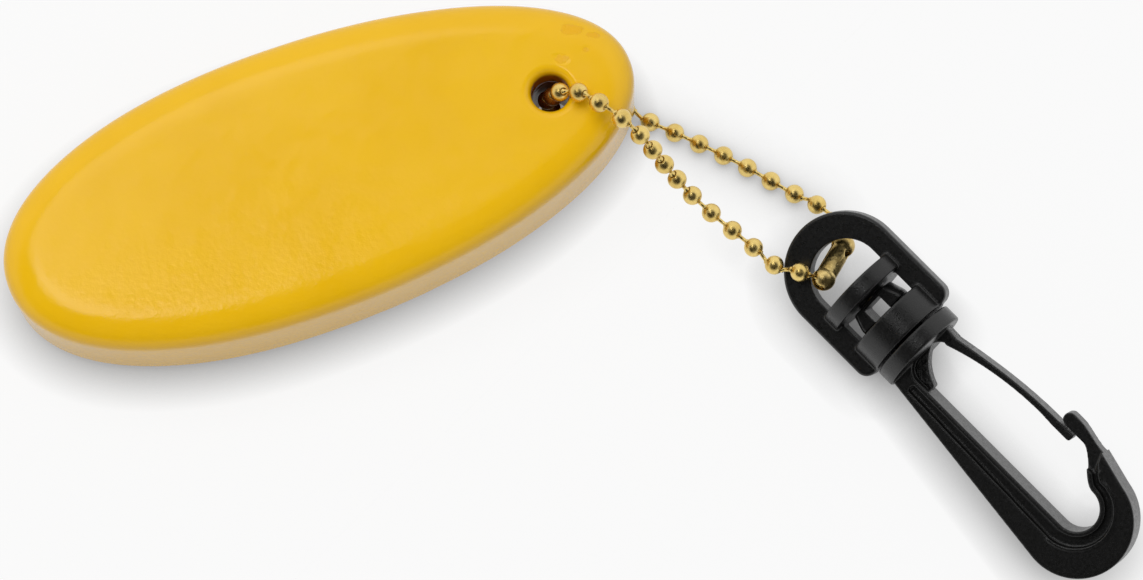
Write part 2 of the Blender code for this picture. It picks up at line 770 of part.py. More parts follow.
def gusset_outline():
    """The thin web in the corner between the spine and the flange, with a hollow edge towards the eye."""
    foot = (GUSSET_LENGTH, SPINE_INNER + GUSSET_WEB)
    head = (0, SPINE_INNER + GUSSET_REACH)
    outline = [(-OVERSHOOT, SPINE_INNER - RIB_WIDTH), (GUSSET_LENGTH, SPINE_INNER - RIB_WIDTH)]
    outline += arc_between(foot, head, GUSSET_CURVE, 8)
    outline.append((-OVERSHOOT, SPINE_INNER + GUSSET_REACH))
    return outline


def shelf_outline():
    """Where each face of the hook steps back to the thin nose."""
    below = nose_inner() - NOSE_WIDTH
    above = NOSE_OUTER + NOSE_WIDTH
    return [
        (NOSE_TIP - OVERSHOOT, below),
        (NOSE_TIP + NOSE_SHELF + SHELF_SLANT / 2, below),
        (NOSE_TIP + NOSE_SHELF - SHELF_SLANT / 2, above),
        (NOSE_TIP - OVERSHOOT, above),
    ]


def gate_seat_cutters(placement, cutters):
    """The block at the flange that carries the gate's root, and the round seat in it."""
    block = add_box(
        "gate_seat_form",
        (GATE_ROOT[0] + FLANGE_WIDTH / 2, 2 * (GATE_ROOT_RADIUS + GATE_SEAT_WALL), GATE_DEPTH),
        ((GATE_ROOT[0] - FLANGE_WIDTH / 2) / 2, GATE_ROOT[1], 0), cutters,
    )
    seat = arc(GATE_ROOT, GATE_ROOT_RADIUS + GATE_CLEARANCE, 0, 345, 23)
    hollow = add_object("gate_seat_cutter", outline_mesh(seat, 2 * HOOK_DEPTH), cutters)
    return [(block, "UNION", placement), (hollow, "DIFFERENCE", placement)]


def stem_pieces(placement, cutters):
    """The flange and the swivel's stem, with the slot that lets its two legs spring and their flats."""
    band_end = -FLANGE_WIDTH - RUNNING_GAP
    head_end = band_end - LOWER_BAND_WIDTH - BAND_GAP + RUNNING_GAP
    flange = add_disc("flange_form", BAND_RADIUS, -FLANGE_WIDTH, 0, cutters)
    add_bevel(flange, EDGE_BEVEL / 2, 1)
    stem = add_turned("stem_form", stem_profile(), 24, cutters)
    pieces = [
        (flange, "UNION", placement),
        (stem, "UNION", placement @ Matrix.Rotation(math.radians(-90), 4, "Y")),
    ]
    slot_start = head_end + HEAD_BRIDGE
    slot = add_box(
        "stem_slot_cutter", (band_end - slot_start, STEM_SLOT, 4 * HEAD_RADIUS),
        ((slot_start + band_end) / 2, 0, 0), cutters,
    )
    pieces.append((slot, "DIFFERENCE", placement))
    flat_end = band_end - LOWER_BAND_WIDTH
    flat_start = head_end - OVERSHOOT
    for side in (-1, 1):
        flat = add_box(
            "stem_flat_cutter", (flat_end - flat_start, 4 * HEAD_RADIUS, HEAD_RADIUS),
            ((flat_start + flat_end) / 2, 0, side * (HEAD_DEPTH + HEAD_RADIUS) / 2), cutters,
        )
        pieces.append((flat, "DIFFERENCE", placement))
    return pieces


def build_snap_hook(parts, cutters, plastic):
    placement = swivel_placement()
    hook = add_object("snap_hook", outline_mesh(hook_outline(), HOOK_DEPTH), parts, plastic)
    add_bevel(hook, EDGE_BEVEL, 1)

    pieces = []
    for side in (-1, 1):
        face = placement @ Matrix.Translation((0, 0, side * HOOK_DEPTH / 2))
        groove = add_object("groove_cutter", outline_mesh(groove_outline(), 2 * GROOVE_DEPTH), cutters)
        pieces.append((groove, "DIFFERENCE", face))
        thin = add_object("nose_cutter", outline_mesh(shelf_outline(), HOOK_DEPTH - NOSE_DEPTH), cutters)
        pieces.append((thin, "DIFFERENCE", face))
    web = add_object("gusset_form", outline_mesh(gusset_outline(), GUSSET_DEPTH), cutters)
    pieces.append((web, "UNION", placement))
    pieces += gate_seat_cutters(placement, cutters)
    pieces += stem_pieces(placement, cutters)
    for piece, operation, where in pieces:
        piece.matrix_world = where
        add_boolean(hook, piece, operation)
    hook.matrix_world = placement
    return hook


def gate_outline():
    """The leaf from its round root, bowed outward, to the block that closes against the nose."""
    outer = nose_inner() - GATE_CLEARANCE
    tip_end = NOSE_TIP + GATE_TIP_LENGTH
    leaf_end = NOSE_TIP - GATE_CLEARANCE
    steps = 10
    line = []
    halves = []
    for i in range(steps + 1):
        share = i / steps
        rise = outer - GATE_THICKNESS / 2 - GATE_ROOT[1]
        line.append((GATE_ROOT[0] + (leaf_end - GATE_ROOT[0]) * share, GATE_ROOT[1] + rise * (1 - (1 - share) ** 2)))
        halves.append(GATE_THICKNESS / 2 + (GATE_ROOT_RADIUS - GATE_THICKNESS / 2) * (1 - share) ** 3)
    low_side = offset_line(line, halves)
    top_side = offset_line(line, [-half for half in halves])
    direction = Vector(line[1]) - Vector(line[0])
    lean = math.degrees(math.atan2(direction.y, direction.x))
    outline = arc(GATE_ROOT, GATE_ROOT_RADIUS, lean + 90, lean + 270, 8)
    outline += low_side[1:]
    outline.append((leaf_end, outer - GATE_TIP_THICKNESS))
    outline.append((tip_end, outer - GATE_TIP_THICKNESS))
    outline.append((tip_end, outer))
    outline += top_side[:0:-1]
    return outline


def build_gate(parts, plastic):
    """The gate has its origin on the axis that it swings about."""
    outline = [(x - GATE_ROOT[0], y - GATE_ROOT[1]) for x, y in gate_outline()]
    gate = add_object("gate", outline_mesh(outline, GATE_DEPTH), parts, plastic)
    add_bevel(gate, EDGE_BEVEL / 2, 1)
    gate.matrix_world = swivel_placement() @ Matrix.Translation((*GATE_ROOT, 0))
    return gate


def centre_on_origin(parts):
    """Puts the middle of the whole object's box over the origin, with its lowest point at z = 0."""
    bpy.context.view_layer.update()
    graph = bpy.context.evaluated_depsgraph_get()
    corners = []
    for made in parts.objects:
        mesh = made.evaluated_get(graph).to_mesh()
        corners += [made.matrix_world @ vertex.co for vertex in mesh.vertices]
    low = Vector(min(corner[axis] for corner in corners) for axis in range(3))
    high = Vector(max(corner[axis] for corner in corners) for axis in range(3))
    shift = Matrix.Translation((-(low.x + high.x) / 2, -(low.y + high.y) / 2, -low.z))
    for made in bpy.context.scene.objects:
        made.matrix_world = shift @ made.matrix_world


def main():
    for old in list(bpy.data.objects):
        bpy.data.objects.remove(old)
    parts = new_collection("floating_keychain")
    cutters = new_collection("cutters")
    paint = new_material("yellow_paint", (0.88, 0.50, 0.02), 0.25, 0.0)
    brass = new_material("bright_brass", (0.80, 0.56, 0.17), 0.2, 1.0)
    dull_brass = new_material("dull_brass", (0.42, 0.29, 0.12), 0.4, 1.0)
    plastic = new_material("black_plastic", (0.012, 0.012, 0.013), 0.45, 0.0)
    build_float(parts, cutters, paint)
    centres = build_chain(parts, brass)
    build_connector(centres, parts, cutters, dull_brass)
    build_swivel_loop(parts, cutters, plastic)
    build_snap_hook(parts, cutters, plastic)
    build_gate(parts, plastic)
    centre_on_origin(parts)


main()
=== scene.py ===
"""Looks of the floating keychain: painted wooden float, gold ball chain and black swivel snap hook."""
import json
import math
import random

import bmesh
import bpy
from mathutils import Matrix, Vector, noise


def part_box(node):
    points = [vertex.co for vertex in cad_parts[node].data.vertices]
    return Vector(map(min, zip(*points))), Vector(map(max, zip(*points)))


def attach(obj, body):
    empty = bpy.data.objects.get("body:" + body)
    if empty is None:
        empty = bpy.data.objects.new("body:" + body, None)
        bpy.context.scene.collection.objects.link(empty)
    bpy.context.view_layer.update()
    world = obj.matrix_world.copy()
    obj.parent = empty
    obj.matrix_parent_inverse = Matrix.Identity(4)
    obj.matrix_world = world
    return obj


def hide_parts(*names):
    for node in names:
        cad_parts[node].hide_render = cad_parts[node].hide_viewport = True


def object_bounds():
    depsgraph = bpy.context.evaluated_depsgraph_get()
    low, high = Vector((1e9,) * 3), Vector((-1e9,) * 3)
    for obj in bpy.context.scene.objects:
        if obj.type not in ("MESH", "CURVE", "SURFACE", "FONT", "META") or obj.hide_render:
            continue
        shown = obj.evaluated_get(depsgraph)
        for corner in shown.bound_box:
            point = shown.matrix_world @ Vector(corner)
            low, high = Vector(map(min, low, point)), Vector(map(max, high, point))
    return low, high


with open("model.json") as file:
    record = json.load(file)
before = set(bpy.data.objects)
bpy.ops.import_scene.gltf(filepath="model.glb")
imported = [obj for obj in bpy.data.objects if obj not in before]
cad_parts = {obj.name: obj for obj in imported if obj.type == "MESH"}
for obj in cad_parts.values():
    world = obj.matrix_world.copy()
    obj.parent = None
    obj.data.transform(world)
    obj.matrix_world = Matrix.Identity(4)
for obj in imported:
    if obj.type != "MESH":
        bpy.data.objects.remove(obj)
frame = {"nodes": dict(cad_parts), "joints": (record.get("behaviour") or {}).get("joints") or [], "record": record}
CAD_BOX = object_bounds()

MM = 0.001
RANDOM_SEED = 4

# Stage and light
FLOOR_GAP = 0.2 * MM
FLOOR_REACH = 4.0
FLOOR_TONE = 0.72
FLOOR_GLOW = 0.86
# Reach of the painted contact shadow: an ambient occlusion that darkens the floor's glow near the object
PAINTED_SHADOW_REACH = 8 * MM
AMBIENT = 0.48
CEILING_MIDDLE = Vector((-0.15, -0.50, 1.0))
CEILING_CORE = math.radians(40)
CEILING_EDGE = math.radians(64)
CEILING_TONE = 0.03
KEY_PLACE = (-0.30, 0.35, 1.5)
KEY_SIZE = (1.0, 1.0)
KEY_POWER = 10.6
SPOT_PLACE = (-0.33, 0.035, 1.15)
SPOT_SIZE = (0.32, 0.32)
SPOT_POWER = 0.9
SOFTBOX_PLACE = (-0.317, 0.38, 0.95)
SOFTBOX_SIZE = (0.5, 0.34)
SOFTBOX_POWER = 0.7
SOFTBOX_TURN = math.radians(51)

# Camera, given from the swivel's origin, so that it follows the frame
CAMERA_FROM_SWIVEL = Vector((-0.07378, -0.16551, 0.7283))
CAMERA_BACK = Vector((-0.02, -0.235, 0.9718))
CAMERA_RIGHT = Vector((0.9998, -0.0047, 0.0194))
PHOTO_WIDTH = 1143
FOCAL_PIXELS = 4500
SENSOR_WIDTH = 36
CLIP_START = 0.05

# Finishes, with colours in linear light and bumps as heights
PAINT_DEEP = (0.850, 0.478, 0.002)
PAINT_LIGHT = (0.875, 0.500, 0.004)
PAINT_SCUFFED = (0.830, 0.440, 0.003)
PAINT_SMOOTHEST = 0.14
PAINT_ROUGHEST = 0.20
SCUFF_DULLNESS = 0.12
BORE_STAIN = (0.50, 0.17, 0.004)
WOOD_LIGHT = (0.42, 0.13, 0.010)
WOOD_DARK = (0.20, 0.055, 0.006)
FINE_BUMP = 0.008 * MM
PEEL_BUMP = 0.060 * MM
PEEL_START = 6 * MM
PEEL_FULL = -19 * MM
PEEL_FAINTEST = 0.35
WAVE_BUMP = 0.050 * MM
SCUFF_BUMP = 0.05 * MM
GOLD_LIGHT = (0.84, 0.63, 0.22)
GOLD_DARK = (0.72, 0.51, 0.15)
GOLD_ROUGHNESS = 0.31
GOLD_BUMP = 0.01 * MM
DULL_LIGHT = (0.84, 0.64, 0.26)
DULL_DARK = (0.50, 0.35, 0.12)
DULL_ROUGHNESS = 0.36
DULL_BUMP = 0.03 * MM
BRASS_SMOOTHER = 0.75
BRASS_ROUGHER = 1.3
PLASTIC_DARK = (0.0038, 0.0038, 0.0037)
PLASTIC_LIGHT = (0.0062, 0.0061, 0.0059)
PLASTIC_SMOOTHEST = 0.27
PLASTIC_ROUGHEST = 0.38
SPARK_BUMP = 0.035 * MM
WEB_BUMP = 0.8 * MM
WEB_FADE = 0.1 * MM

# Float, with its bore near the end that the chain leaves
FLOAT_LENGTH = 109.3 * MM
FLOAT_WIDTH = 46.0 * MM
FLOAT_THICKNESS = 20.5 * MM
FLOAT_EDGE_RADIUS = 5 * MM
FLOAT_EDGE_REACH = 7.5 * MM
EDGE_SOFTNESS = 2.5
OUTLINE_STEPS = 400
FACE_STEPS = 60
FACE_CROWDING = 1.3
EDGE_STEPS = 26
SIDE_STEPS = 8
LIP_STEPS = 12
WALL_STEPS = 30
FLOAT_ROUNDNESS = 2.11
FLOAT_TAPER = 0.063
FLOAT_HEADING = math.radians(20.2)
BORE_RADIUS = 3.15 * MM
BORE_LIP = 1.6 * MM
BORE_CENTRE = Vector((FLOAT_LENGTH / 2 - 14.6 * MM, -1.3 * MM, 0))
BORE_RIDGE_DEPTH = 5 * MM
BORE_RIDGE_HEIGHT = 0.12 * MM
BORE_RIDGE_WIDTH = 0.5 * MM
STAIN_REACH = 1.3 * MM
STAIN_CORE = 0.35 * MM
STAIN_UNEVENNESS = 1.2 * MM
STAIN_START = 0.2 * MM
STAIN_END = 8.0 * MM
WAVE_DEPTH = 0.08 * MM
WAVE_SCALE = 75
RIPPLE_SHARE = 0.22
RIPPLE_SCALE = 240
RIPPLE_SHIFT = Vector((3, 7, 1))
SCUFF_DEPTH = 0.09 * MM
SCUFF_TURN = math.radians(-24)
SCUFF_GRAIN = 900
SCUFF_RAGGEDNESS = 0.45
SCUFF_EDGE = 1.15
SCUFF_STEEPNESS = 2.5
SCUFF_FRAY = 1.5
SCUFF_OUTSIDE = 1.62
SCUFF_INSIDE = 1.42
SCUFF_HEIGHT = 2 * MM
# Scuffs in the enamel near the bore: middle, half length and half width
SCUFFS = (
    (Vector((47.2 * MM, 7.4 * MM, 0)), 2.9 * MM, 1.3 * MM),
    (Vector((50.3 * MM, 5.3 * MM, 0)), 2.0 * MM, 0.7 * MM),
    (Vector((43.7 * MM, 3.1 * MM, 0)), 1.5 * MM, 0.9 * MM),
    (Vector((48.0 * MM, 3.3 * MM, 0)), 0.6 * MM, 0.45 * MM),
)

# Chain
BEAD_RADIUS = 1.6 * MM
BEAD_HOLE_RADIUS = 0.68 * MM
BEAD_WALL = 0.22 * MM
LINK_RADIUS = 0.33 * MM
BEAD_COUNT = 32
BEAD_COLUMNS = 56
BEAD_ROWS = 34
INNER_TURN = 25
INNER_ROWS = 3
# A bead's slit and puckers: depths as shares of its radius, widths and places in radians
SLIT_DEPTH = 0.028
SLIT_WIDTH = 0.075
SLIT_AT_EQUATOR = 0.35
PUCKERS = (0.55, -0.6, 1.15)
PUCKER_DEPTH = 0.032
PUCKER_WIDTH = 0.07
PUCKER_START = 0.55
CENTRE_ROUNDS = 40
CENTRE_STRIDE = 1.5
SHELL_REACH = 0.35 * MM
COLLAR_RADIUS = 1.6 * LINK_RADIUS
LINK_SIDES = 16
AXIS_SLIVER = 0.0001 * MM
# Half of a link: its radius, and how far inside the bead's surface that lies
LINK_HALF = (
    (AXIS_SLIVER, 0.45 * MM),
    (COLLAR_RADIUS, 0.4 * MM),
    (COLLAR_RADIUS, 0.05 * MM),
    (LINK_RADIUS, -0.1 * MM),
)

# Chain connector
CUP_RADIUS = 2.0 * MM
CUP_WALL = 0.26 * MM
CUP_MOUTH_RADIUS = 0.9 * MM
WAIST_RADIUS = 1.73 * MM
SLOT_WIDTH = 1.2 * MM
WINDOW_RADIUS = 0.85 * MM
NOTCH_RADIUS = 0.9 * MM
NOTCH_FROM_AXIS = 1.4 * MM
NOTCH_PLACE = 0.6

# Swivel
BAND_RADIUS = 7.87 * MM
RUNNING_GAP = 0.45 * MM
LOOP_WIDTH = 20.7 * MM
LOOP_TOP = -29.15 * MM
LOOP_RAIL = 4.05 * MM
LOOP_CROWN = 0.7 * MM
LOOP_DEPTH = 3.6 * MM
LOOP_CORNER = 2.1 * MM
LOWER_BAND_WIDTH = 5.1 * MM
UPPER_BAND_WIDTH = 3 * MM
BAND_GAP = 4.3 * MM
FLANGE_WIDTH = 3.05 * MM
STEM_RADIUS = 3.1 * MM
STEM_CLEARANCE = 0.4 * MM
HEAD_RADIUS = 5 * MM
HEAD_NECK_RADIUS = 4.2 * MM
HEAD_BARB = 0.8 * MM
HEAD_DEPTH = 5.6 * MM
HEAD_BRIDGE = 0.6 * MM
TIP_RADIUS = 2.5 * MM
TIP_LENGTH = 2.6 * MM
TIP_CHAMFER = 0.8
STEM_SLIVER = 0.001 * MM
STEM_SLOT = 3.6 * MM

# Snap hook, in the swivel's plane: x runs from the flange to the hook's end, y towards the gate
HOOK_DEPTH = 6.6 * MM
SPINE_ROOT_OUTER = -6.8 * MM
SPINE_INNER = -3.8 * MM
BEND_CENTRE = (37.5 * MM, -1.5 * MM)
BEND_RADIUS = 9.62 * MM
BEND_END = 80
CROTCH_ALONG = 36.1 * MM
CROTCH_RADIUS = 3.85 * MM
NOSE_TIP = 23.85 * MM
NOSE_OUTER = 10.72 * MM
NOSE_WIDTH = 2.32 * MM
NOSE_DEPTH = 3.6 * MM
NOSE_LENGTH = 5.1 * MM
NOSE_SHOULDER = 1.05 * MM
NOSE_SHELF = 8.8 * MM
SHELF_SLANT = 3 * MM
GROOVE_START_WIDTH = 1.3 * MM
GROOVE_WIDTH = 2.1 * MM
GROOVE_END_WIDTH = 0.9 * MM
GROOVE_DEPTH = 1.1 * MM
# Points of the eye's line that the groove and the raised line leave free at the nose
GROOVE_STOP = 6
LINE_STOP = 14
RIB_WIDTH = 0.9 * MM
FILLET_RADIUS = 2.6 * MM
GUSSET_LENGTH = 5.2 * MM
GUSSET_WEB = 1.1 * MM
GUSSET_REACH = 5.9 * MM
GUSSET_CURVE = 8 * MM
GUSSET_DEPTH = 3 * MM
GATE_DEPTH = 4 * MM
GATE_FLARE = 2.9 * MM
GATE_FLARE_REACH = 2.4 * MM
GATE_FLARE_CURVE = 2.6 * MM
GATE_FOOT_INNER = 0.62 * MM
GATE_FOOT_OUTER = 1.1 * MM
GATE_FOOT_ROOT = 1.2 * MM
LINE_WIDTH = 0.45 * MM
LINE_HEIGHT = 0.16 * MM
GATE_ROOT_HALF = 0.95 * MM
GATE_CLEARANCE = 0.32 * MM
GATE_THICKNESS = 1 * MM
GATE_TIP_LENGTH = 3.6 * MM
GATE_TIP_THICKNESS = 1.3 * MM
GATE_TIP_ROUND = 0.5 * MM
GATE_ROOT_FADE = 4
GATE_TIP_FADE = 6
EJECTOR_PLACE = (44.7 * MM, 0.1 * MM)
EJECTOR_RADIUS = 0.95 * MM
EJECTOR_DEPTH = 0.1 * MM
EJECTOR_RING = 0.15 * MM
MOULD_EDGE = 0.45 * MM
SURFACE_GRAIN = 0.2 * MM
GATE_GRAIN = 0.16 * MM
CONNECTOR_GRAIN = 0.07 * MM
SOFTEN_STEPS = 2
SOFTEN_SHARE = 0.5
SHARP_ANGLE = math.radians(35)
LEVEL_NORMAL = 0.99
MERGE_REACH = 0.001 * MM
OVERSHOOT = 1 * MM
ARC_STEPS = 24
CORNER_STEPS = 12
BEVEL_STEPS = 4
DISC_STEPS = 112
STEM_STEPS = 72
HOLE_STEPS = 64
EJECTOR_STEPS = 48
NOTCH_STEPS = 32
CUP_STEPS = 16
SHELL_STEPS = 64
GATE_ROOT_STEPS = 16
GATE_TIP_STEPS = 6


def joint(name):
    """A joint's origin and axis from the frame."""
    for found in frame["joints"]:
        if found["name"] == name:
            return Vector(found["pos_m"]), Vector(found["axis"]).normalized()
    raise ValueError(name)


def placed(origin, along, up):
    """A placement at origin with its x axis along and its z axis up."""
    turn = Matrix((along, up.cross(along), up)).transposed().to_4x4()
    return Matrix.Translation(origin) @ turn


SWIVEL_ORIGIN, SWIVEL_AXIS = joint("hook_swivel")
GATE_ORIGIN, GATE_AXIS = joint("gate_flex")
SWIVEL_PLACEMENT = placed(SWIVEL_ORIGIN, SWIVEL_AXIS, -GATE_AXIS)
GATE_ROOT = SWIVEL_PLACEMENT.inverted() @ GATE_ORIGIN


def new_piece(name, mesh, material, placement):
    """A piece of the object, with its placement worked into its mesh."""
    mesh.transform(placement)
    piece = bpy.data.objects.new(name, mesh)
    bpy.context.scene.collection.objects.link(piece)
    mesh.materials.clear()
    mesh.materials.append(material)
    return piece


def grid_mesh(name, rows, close_rows=False):
    """A mesh of quads through closed rings of points, with the last ring joined to the first where asked."""
    count = len(rows[0])
    vertices = [point for row in rows for point in row]
    faces = []
    row_steps = len(rows) if close_rows else len(rows) - 1
    for i in range(row_steps):
        for j in range(count):
            a = i * count + j
            b = i * count + (j + 1) % count
            c = ((i + 1) % len(rows)) * count + (j + 1) % count
            d = ((i + 1) % len(rows)) * count + j
            faces.append((a, b, c, d))
    mesh = bpy.data.meshes.new(name)
    mesh.from_pydata(vertices, [], faces)
    shape = bmesh.new()
    shape.from_mesh(mesh)
    bmesh.ops.recalc_face_normals(shape, faces=shape.faces)
    shape.to_mesh(mesh)
    shape.free()
    mesh.shade_smooth()
    return mesh


# Materials
class Recipe:
    """A node material under construction."""

    def __init__(self, name):
        self.material = bpy.data.materials.new(name)
        self.material.use_nodes = True
        self.tree = self.material.node_tree
        self.shader = self.tree.nodes["Principled BSDF"]

    def set(self, **values):
        for name, value in values.items():
            self.shader.inputs[name.replace("_", " ")].default_value = value

    def add(self, kind, settings=None, **inputs):
        """A node with its inputs, which are named by their sockets, or i0, i1 and so on by their places."""
        node = self.tree.nodes.new("ShaderNode" + kind)
        for name, value in (settings or {}).items():
            setattr(node, name, value)
        for name, value in inputs.items():
            by_place = name[0] == "i" and name[1:].isdigit()
            key = int(name[1:]) if by_place else name.replace("_", " ")
            socket = node.inputs[key]
            if isinstance(value, bpy.types.NodeSocket):
                self.tree.links.new(value, socket)
            else:
                socket.default_value = value
        return node

    def link(self, source, target):
        self.tree.links.new(source, self.shader.inputs[target])

    def place(self):
        return self.add("TexCoord").outputs["Object"]

    def place_in(self, placement):
        """Texture coordinates in the axes of a placement."""
        made = self.add("Mapping", {"vector_type": "TEXTURE"}, Vector=self.place())
        made.inputs["Location"].default_value = placement.to_translation()
        made.inputs["Rotation"].default_value = placement.to_euler()
        return made.outputs["Vector"]

    def scuffs(self, place):
        """1 inside the enamel's scuffs, with ragged edges."""
        ragged = self.math("MULTIPLY", self.noise(place, SCUFF_GRAIN, 4, 0.65), SCUFF_FRAY)
        total = 0.0
        for middle, half_length, half_width in SCUFFS:
            patch = self.add("Mapping", {"vector_type": "TEXTURE"}, Vector=place)
            patch.inputs["Location"].default_value = middle + Vector((0, 0, FLOAT_THICKNESS / 2))
            patch.inputs["Rotation"].default_value = (0, 0, SCUFF_TURN)
            patch.inputs["Scale"].default_value = (half_length, half_width, SCUFF_HEIGHT)
            away = self.add("VectorMath", {"operation": "LENGTH"}, i0=patch.outputs["Vector"])
            reach = self.math("ADD", away.outputs["Value"], ragged)
            total = self.math("MAXIMUM", total, self.ramp(reach, SCUFF_OUTSIDE, SCUFF_INSIDE))
        return total

    def noise(self, place, scale, detail=3.0, roughness=0.5):
        made = self.add("TexNoise", Vector=place, Scale=scale, Detail=detail, Roughness=roughness)
        return made.outputs["Fac"]

    def ramp(self, value, low, high, out_low=0.0, out_high=1.0):
        """A smooth step from out_low to out_high as the value goes from low to high."""
        made = self.add("MapRange", {"clamp": True}, Value=value)
        made.interpolation_type = "SMOOTHSTEP"
        made.inputs["From Min"].default_value = low
        made.inputs["From Max"].default_value = high
        made.inputs["To Min"].default_value = out_low
        made.inputs["To Max"].default_value = out_high
        return made.outputs["Result"]

    def math(self, operation, first, second=0.0):
        made = self.add("Math", {"operation": operation}, i0=first, i1=second)
        return made.outputs["Value"]

    def mix(self, share, first, second):
        """A colour between two colours or colour sockets."""
        made = self.add("Mix", {"data_type": "RGBA"}, Factor=share)
        for index, value in ((6, first), (7, second)):
            if isinstance(value, bpy.types.NodeSocket):
                self.tree.links.new(value, made.inputs[index])
            else:
                made.inputs[index].default_value = (*value, 1.0)
        return made.outputs[2]

    def bump(self, height, distance, normal=None):
        made = self.add("Bump", Height=height, Distance=distance, Strength=1.0)
        if normal:
            self.tree.links.new(normal, made.inputs["Normal"])
        return made.outputs["Normal"]


def bore_colour(recipe, place, parts, paint):
    """The paint, which gives way to stained and then bare wood down the bore."""
    flat = recipe.add("CombineXYZ", X=parts.outputs["X"], Y=parts.outputs["Y"])
    away = recipe.add("VectorMath", {"operation": "DISTANCE"}, i0=flat.outputs[0], i1=BORE_CENTRE)
    in_bore = recipe.ramp(away.outputs["Value"], BORE_RADIUS + STAIN_REACH, BORE_RADIUS + STAIN_CORE)
    depth = recipe.math("ABSOLUTE", parts.outputs["Z"])
    uneven = recipe.math("MULTIPLY", recipe.noise(place, 700, 3), STAIN_UNEVENNESS)
    edge = recipe.math("ADD", depth, uneven)
    deep = recipe.ramp(edge, FLOAT_THICKNESS / 2 - STAIN_START, FLOAT_THICKNESS / 2 - STAIN_END)
    bare = recipe.math("MULTIPLY", in_bore, deep)
    wood = recipe.mix(recipe.noise(place, 1500, 4), WOOD_LIGHT, WOOD_DARK)
    stain = recipe.mix(recipe.ramp(bare, 0.0, 0.13), paint, BORE_STAIN)
    return recipe.mix(recipe.ramp(bare, 0.15, 0.9), stain, wood)


def paint_material(placement):
    """Glossy yellow enamel on wood: soft waves, orange peel, dull scuffs and a brown varnished bore."""
    recipe = Recipe("yellow_enamel")
    place = recipe.place_in(placement)
    broad = recipe.ramp(recipe.noise(place, 60, 2), 0.35, 0.65)
    yellow = recipe.mix(broad, PAINT_DEEP, PAINT_LIGHT)
    scuffed = recipe.scuffs(place)
    yellow = recipe.mix(scuffed, yellow, PAINT_SCUFFED)

    parts = recipe.add("SeparateXYZ", Vector=place)
    recipe.link(bore_colour(recipe, place, parts, yellow), "Base Color")
    gloss = recipe.ramp(recipe.noise(place, 420, 3), 0.3, 0.7, PAINT_SMOOTHEST, PAINT_ROUGHEST)
    dull = recipe.math("MULTIPLY", scuffed, SCUFF_DULLNESS)
    recipe.link(recipe.math("ADD", gloss, dull), "Roughness")

    near_edge = recipe.ramp(parts.outputs["Y"], PEEL_START, PEEL_FULL, PEEL_FAINTEST, 1.0)
    peel = recipe.math("MULTIPLY", recipe.noise(place, 900, 3), near_edge)
    normal = recipe.bump(recipe.noise(place, 2600, 2), FINE_BUMP)
    normal = recipe.bump(peel, PEEL_BUMP, normal)
    normal = recipe.bump(recipe.noise(place, 260, 3), WAVE_BUMP, normal)
    normal = recipe.bump(scuffed, SCUFF_BUMP, normal)
    recipe.link(normal, "Normal")
    recipe.set(IOR=1.42)
    return recipe.material


def brass_material(name, bright, dark, roughness, marks):
    """Brass with soft drawing marks and slightly darker patches."""
    recipe = Recipe(name)
    place = recipe.place()
    patches = recipe.ramp(recipe.noise(place, 450, 3), 0.35, 0.7)
    recipe.link(recipe.mix(patches, bright, dark), "Base Color")
    smoothest = roughness * BRASS_SMOOTHER
    roughest = roughness * BRASS_ROUGHER
    recipe.link(recipe.ramp(recipe.noise(place, 2500, 3), 0.3, 0.7, smoothest, roughest), "Roughness")
    recipe.link(recipe.bump(recipe.noise(place, 2600, 2), marks), "Normal")
    recipe.set(Metallic=1.0)
    return recipe.material


def plastic_material():
    """Black moulded plastic with the fine spark texture of its tool, coarser on the thin web."""
    recipe = Recipe("black_acetal")
    place = recipe.place_in(SWIVEL_PLACEMENT)
    recipe.link(recipe.mix(recipe.noise(place, 500, 3), PLASTIC_DARK, PLASTIC_LIGHT), "Base Color")
    uneven = recipe.noise(place, 1800, 3)
    recipe.link(recipe.ramp(uneven, 0.3, 0.7, PLASTIC_SMOOTHEST, PLASTIC_ROUGHEST), "Roughness")
    parts = recipe.add("SeparateXYZ", Vector=place)
    height = recipe.math("ABSOLUTE", parts.outputs["Z"])
    flat = recipe.ramp(height, GUSSET_DEPTH / 2 + WEB_FADE, GUSSET_DEPTH / 2)
    root = recipe.ramp(parts.outputs["X"], GUSSET_LENGTH + WEB_FADE, GUSSET_LENGTH)
    start = recipe.ramp(parts.outputs["X"], 0, WEB_FADE)
    web = recipe.math("MULTIPLY", recipe.math("MULTIPLY", flat, root), start)
    coarse = recipe.math("MULTIPLY", recipe.noise(place, 1200, 4), web)
    normal = recipe.bump(recipe.noise(place, 4200, 3), SPARK_BUMP)
    normal = recipe.bump(coarse, WEB_BUMP, normal)
    recipe.link(normal, "Normal")
    recipe.set(IOR=1.5)
    return recipe.material


# Float
def float_outline():
    """The float's oval: a superellipse that is a little narrower at its bored end."""
    half_length = FLOAT_LENGTH / 2
    half_width = FLOAT_WIDTH / 2
    points = []
    for i in range(OUTLINE_STEPS):
        angle = 2 * math.pi * i / OUTLINE_STEPS
        cosine = math.cos(angle)
        sine = math.sin(angle)
        x = half_length * math.copysign(abs(cosine) ** (2 / FLOAT_ROUNDNESS), cosine)
        y = half_width * math.copysign(abs(sine) ** (2 / FLOAT_ROUNDNESS), sine)
        points.append(Vector((x, y * (1 - FLOAT_TAPER * x / half_length), 0)))
    return points


def bore_ring(outline, reach, height):
    """A round ring about the bore, with a point towards each point of the outline."""
    ring = []
    for point in outline:
        direction = (point - BORE_CENTRE).normalized()
        ring.append(BORE_CENTRE + direction * reach + Vector((0, 0, height)))
    return ring


def edge_ring(outline, inset, height):
    """The outline drawn in by inset, at that height."""
    scale_x = 1 - inset / (FLOAT_LENGTH / 2)
    scale_y = 1 - inset / (FLOAT_WIDTH / 2)
    return [Vector((p.x * scale_x, p.y * scale_y, height)) for p in outline]


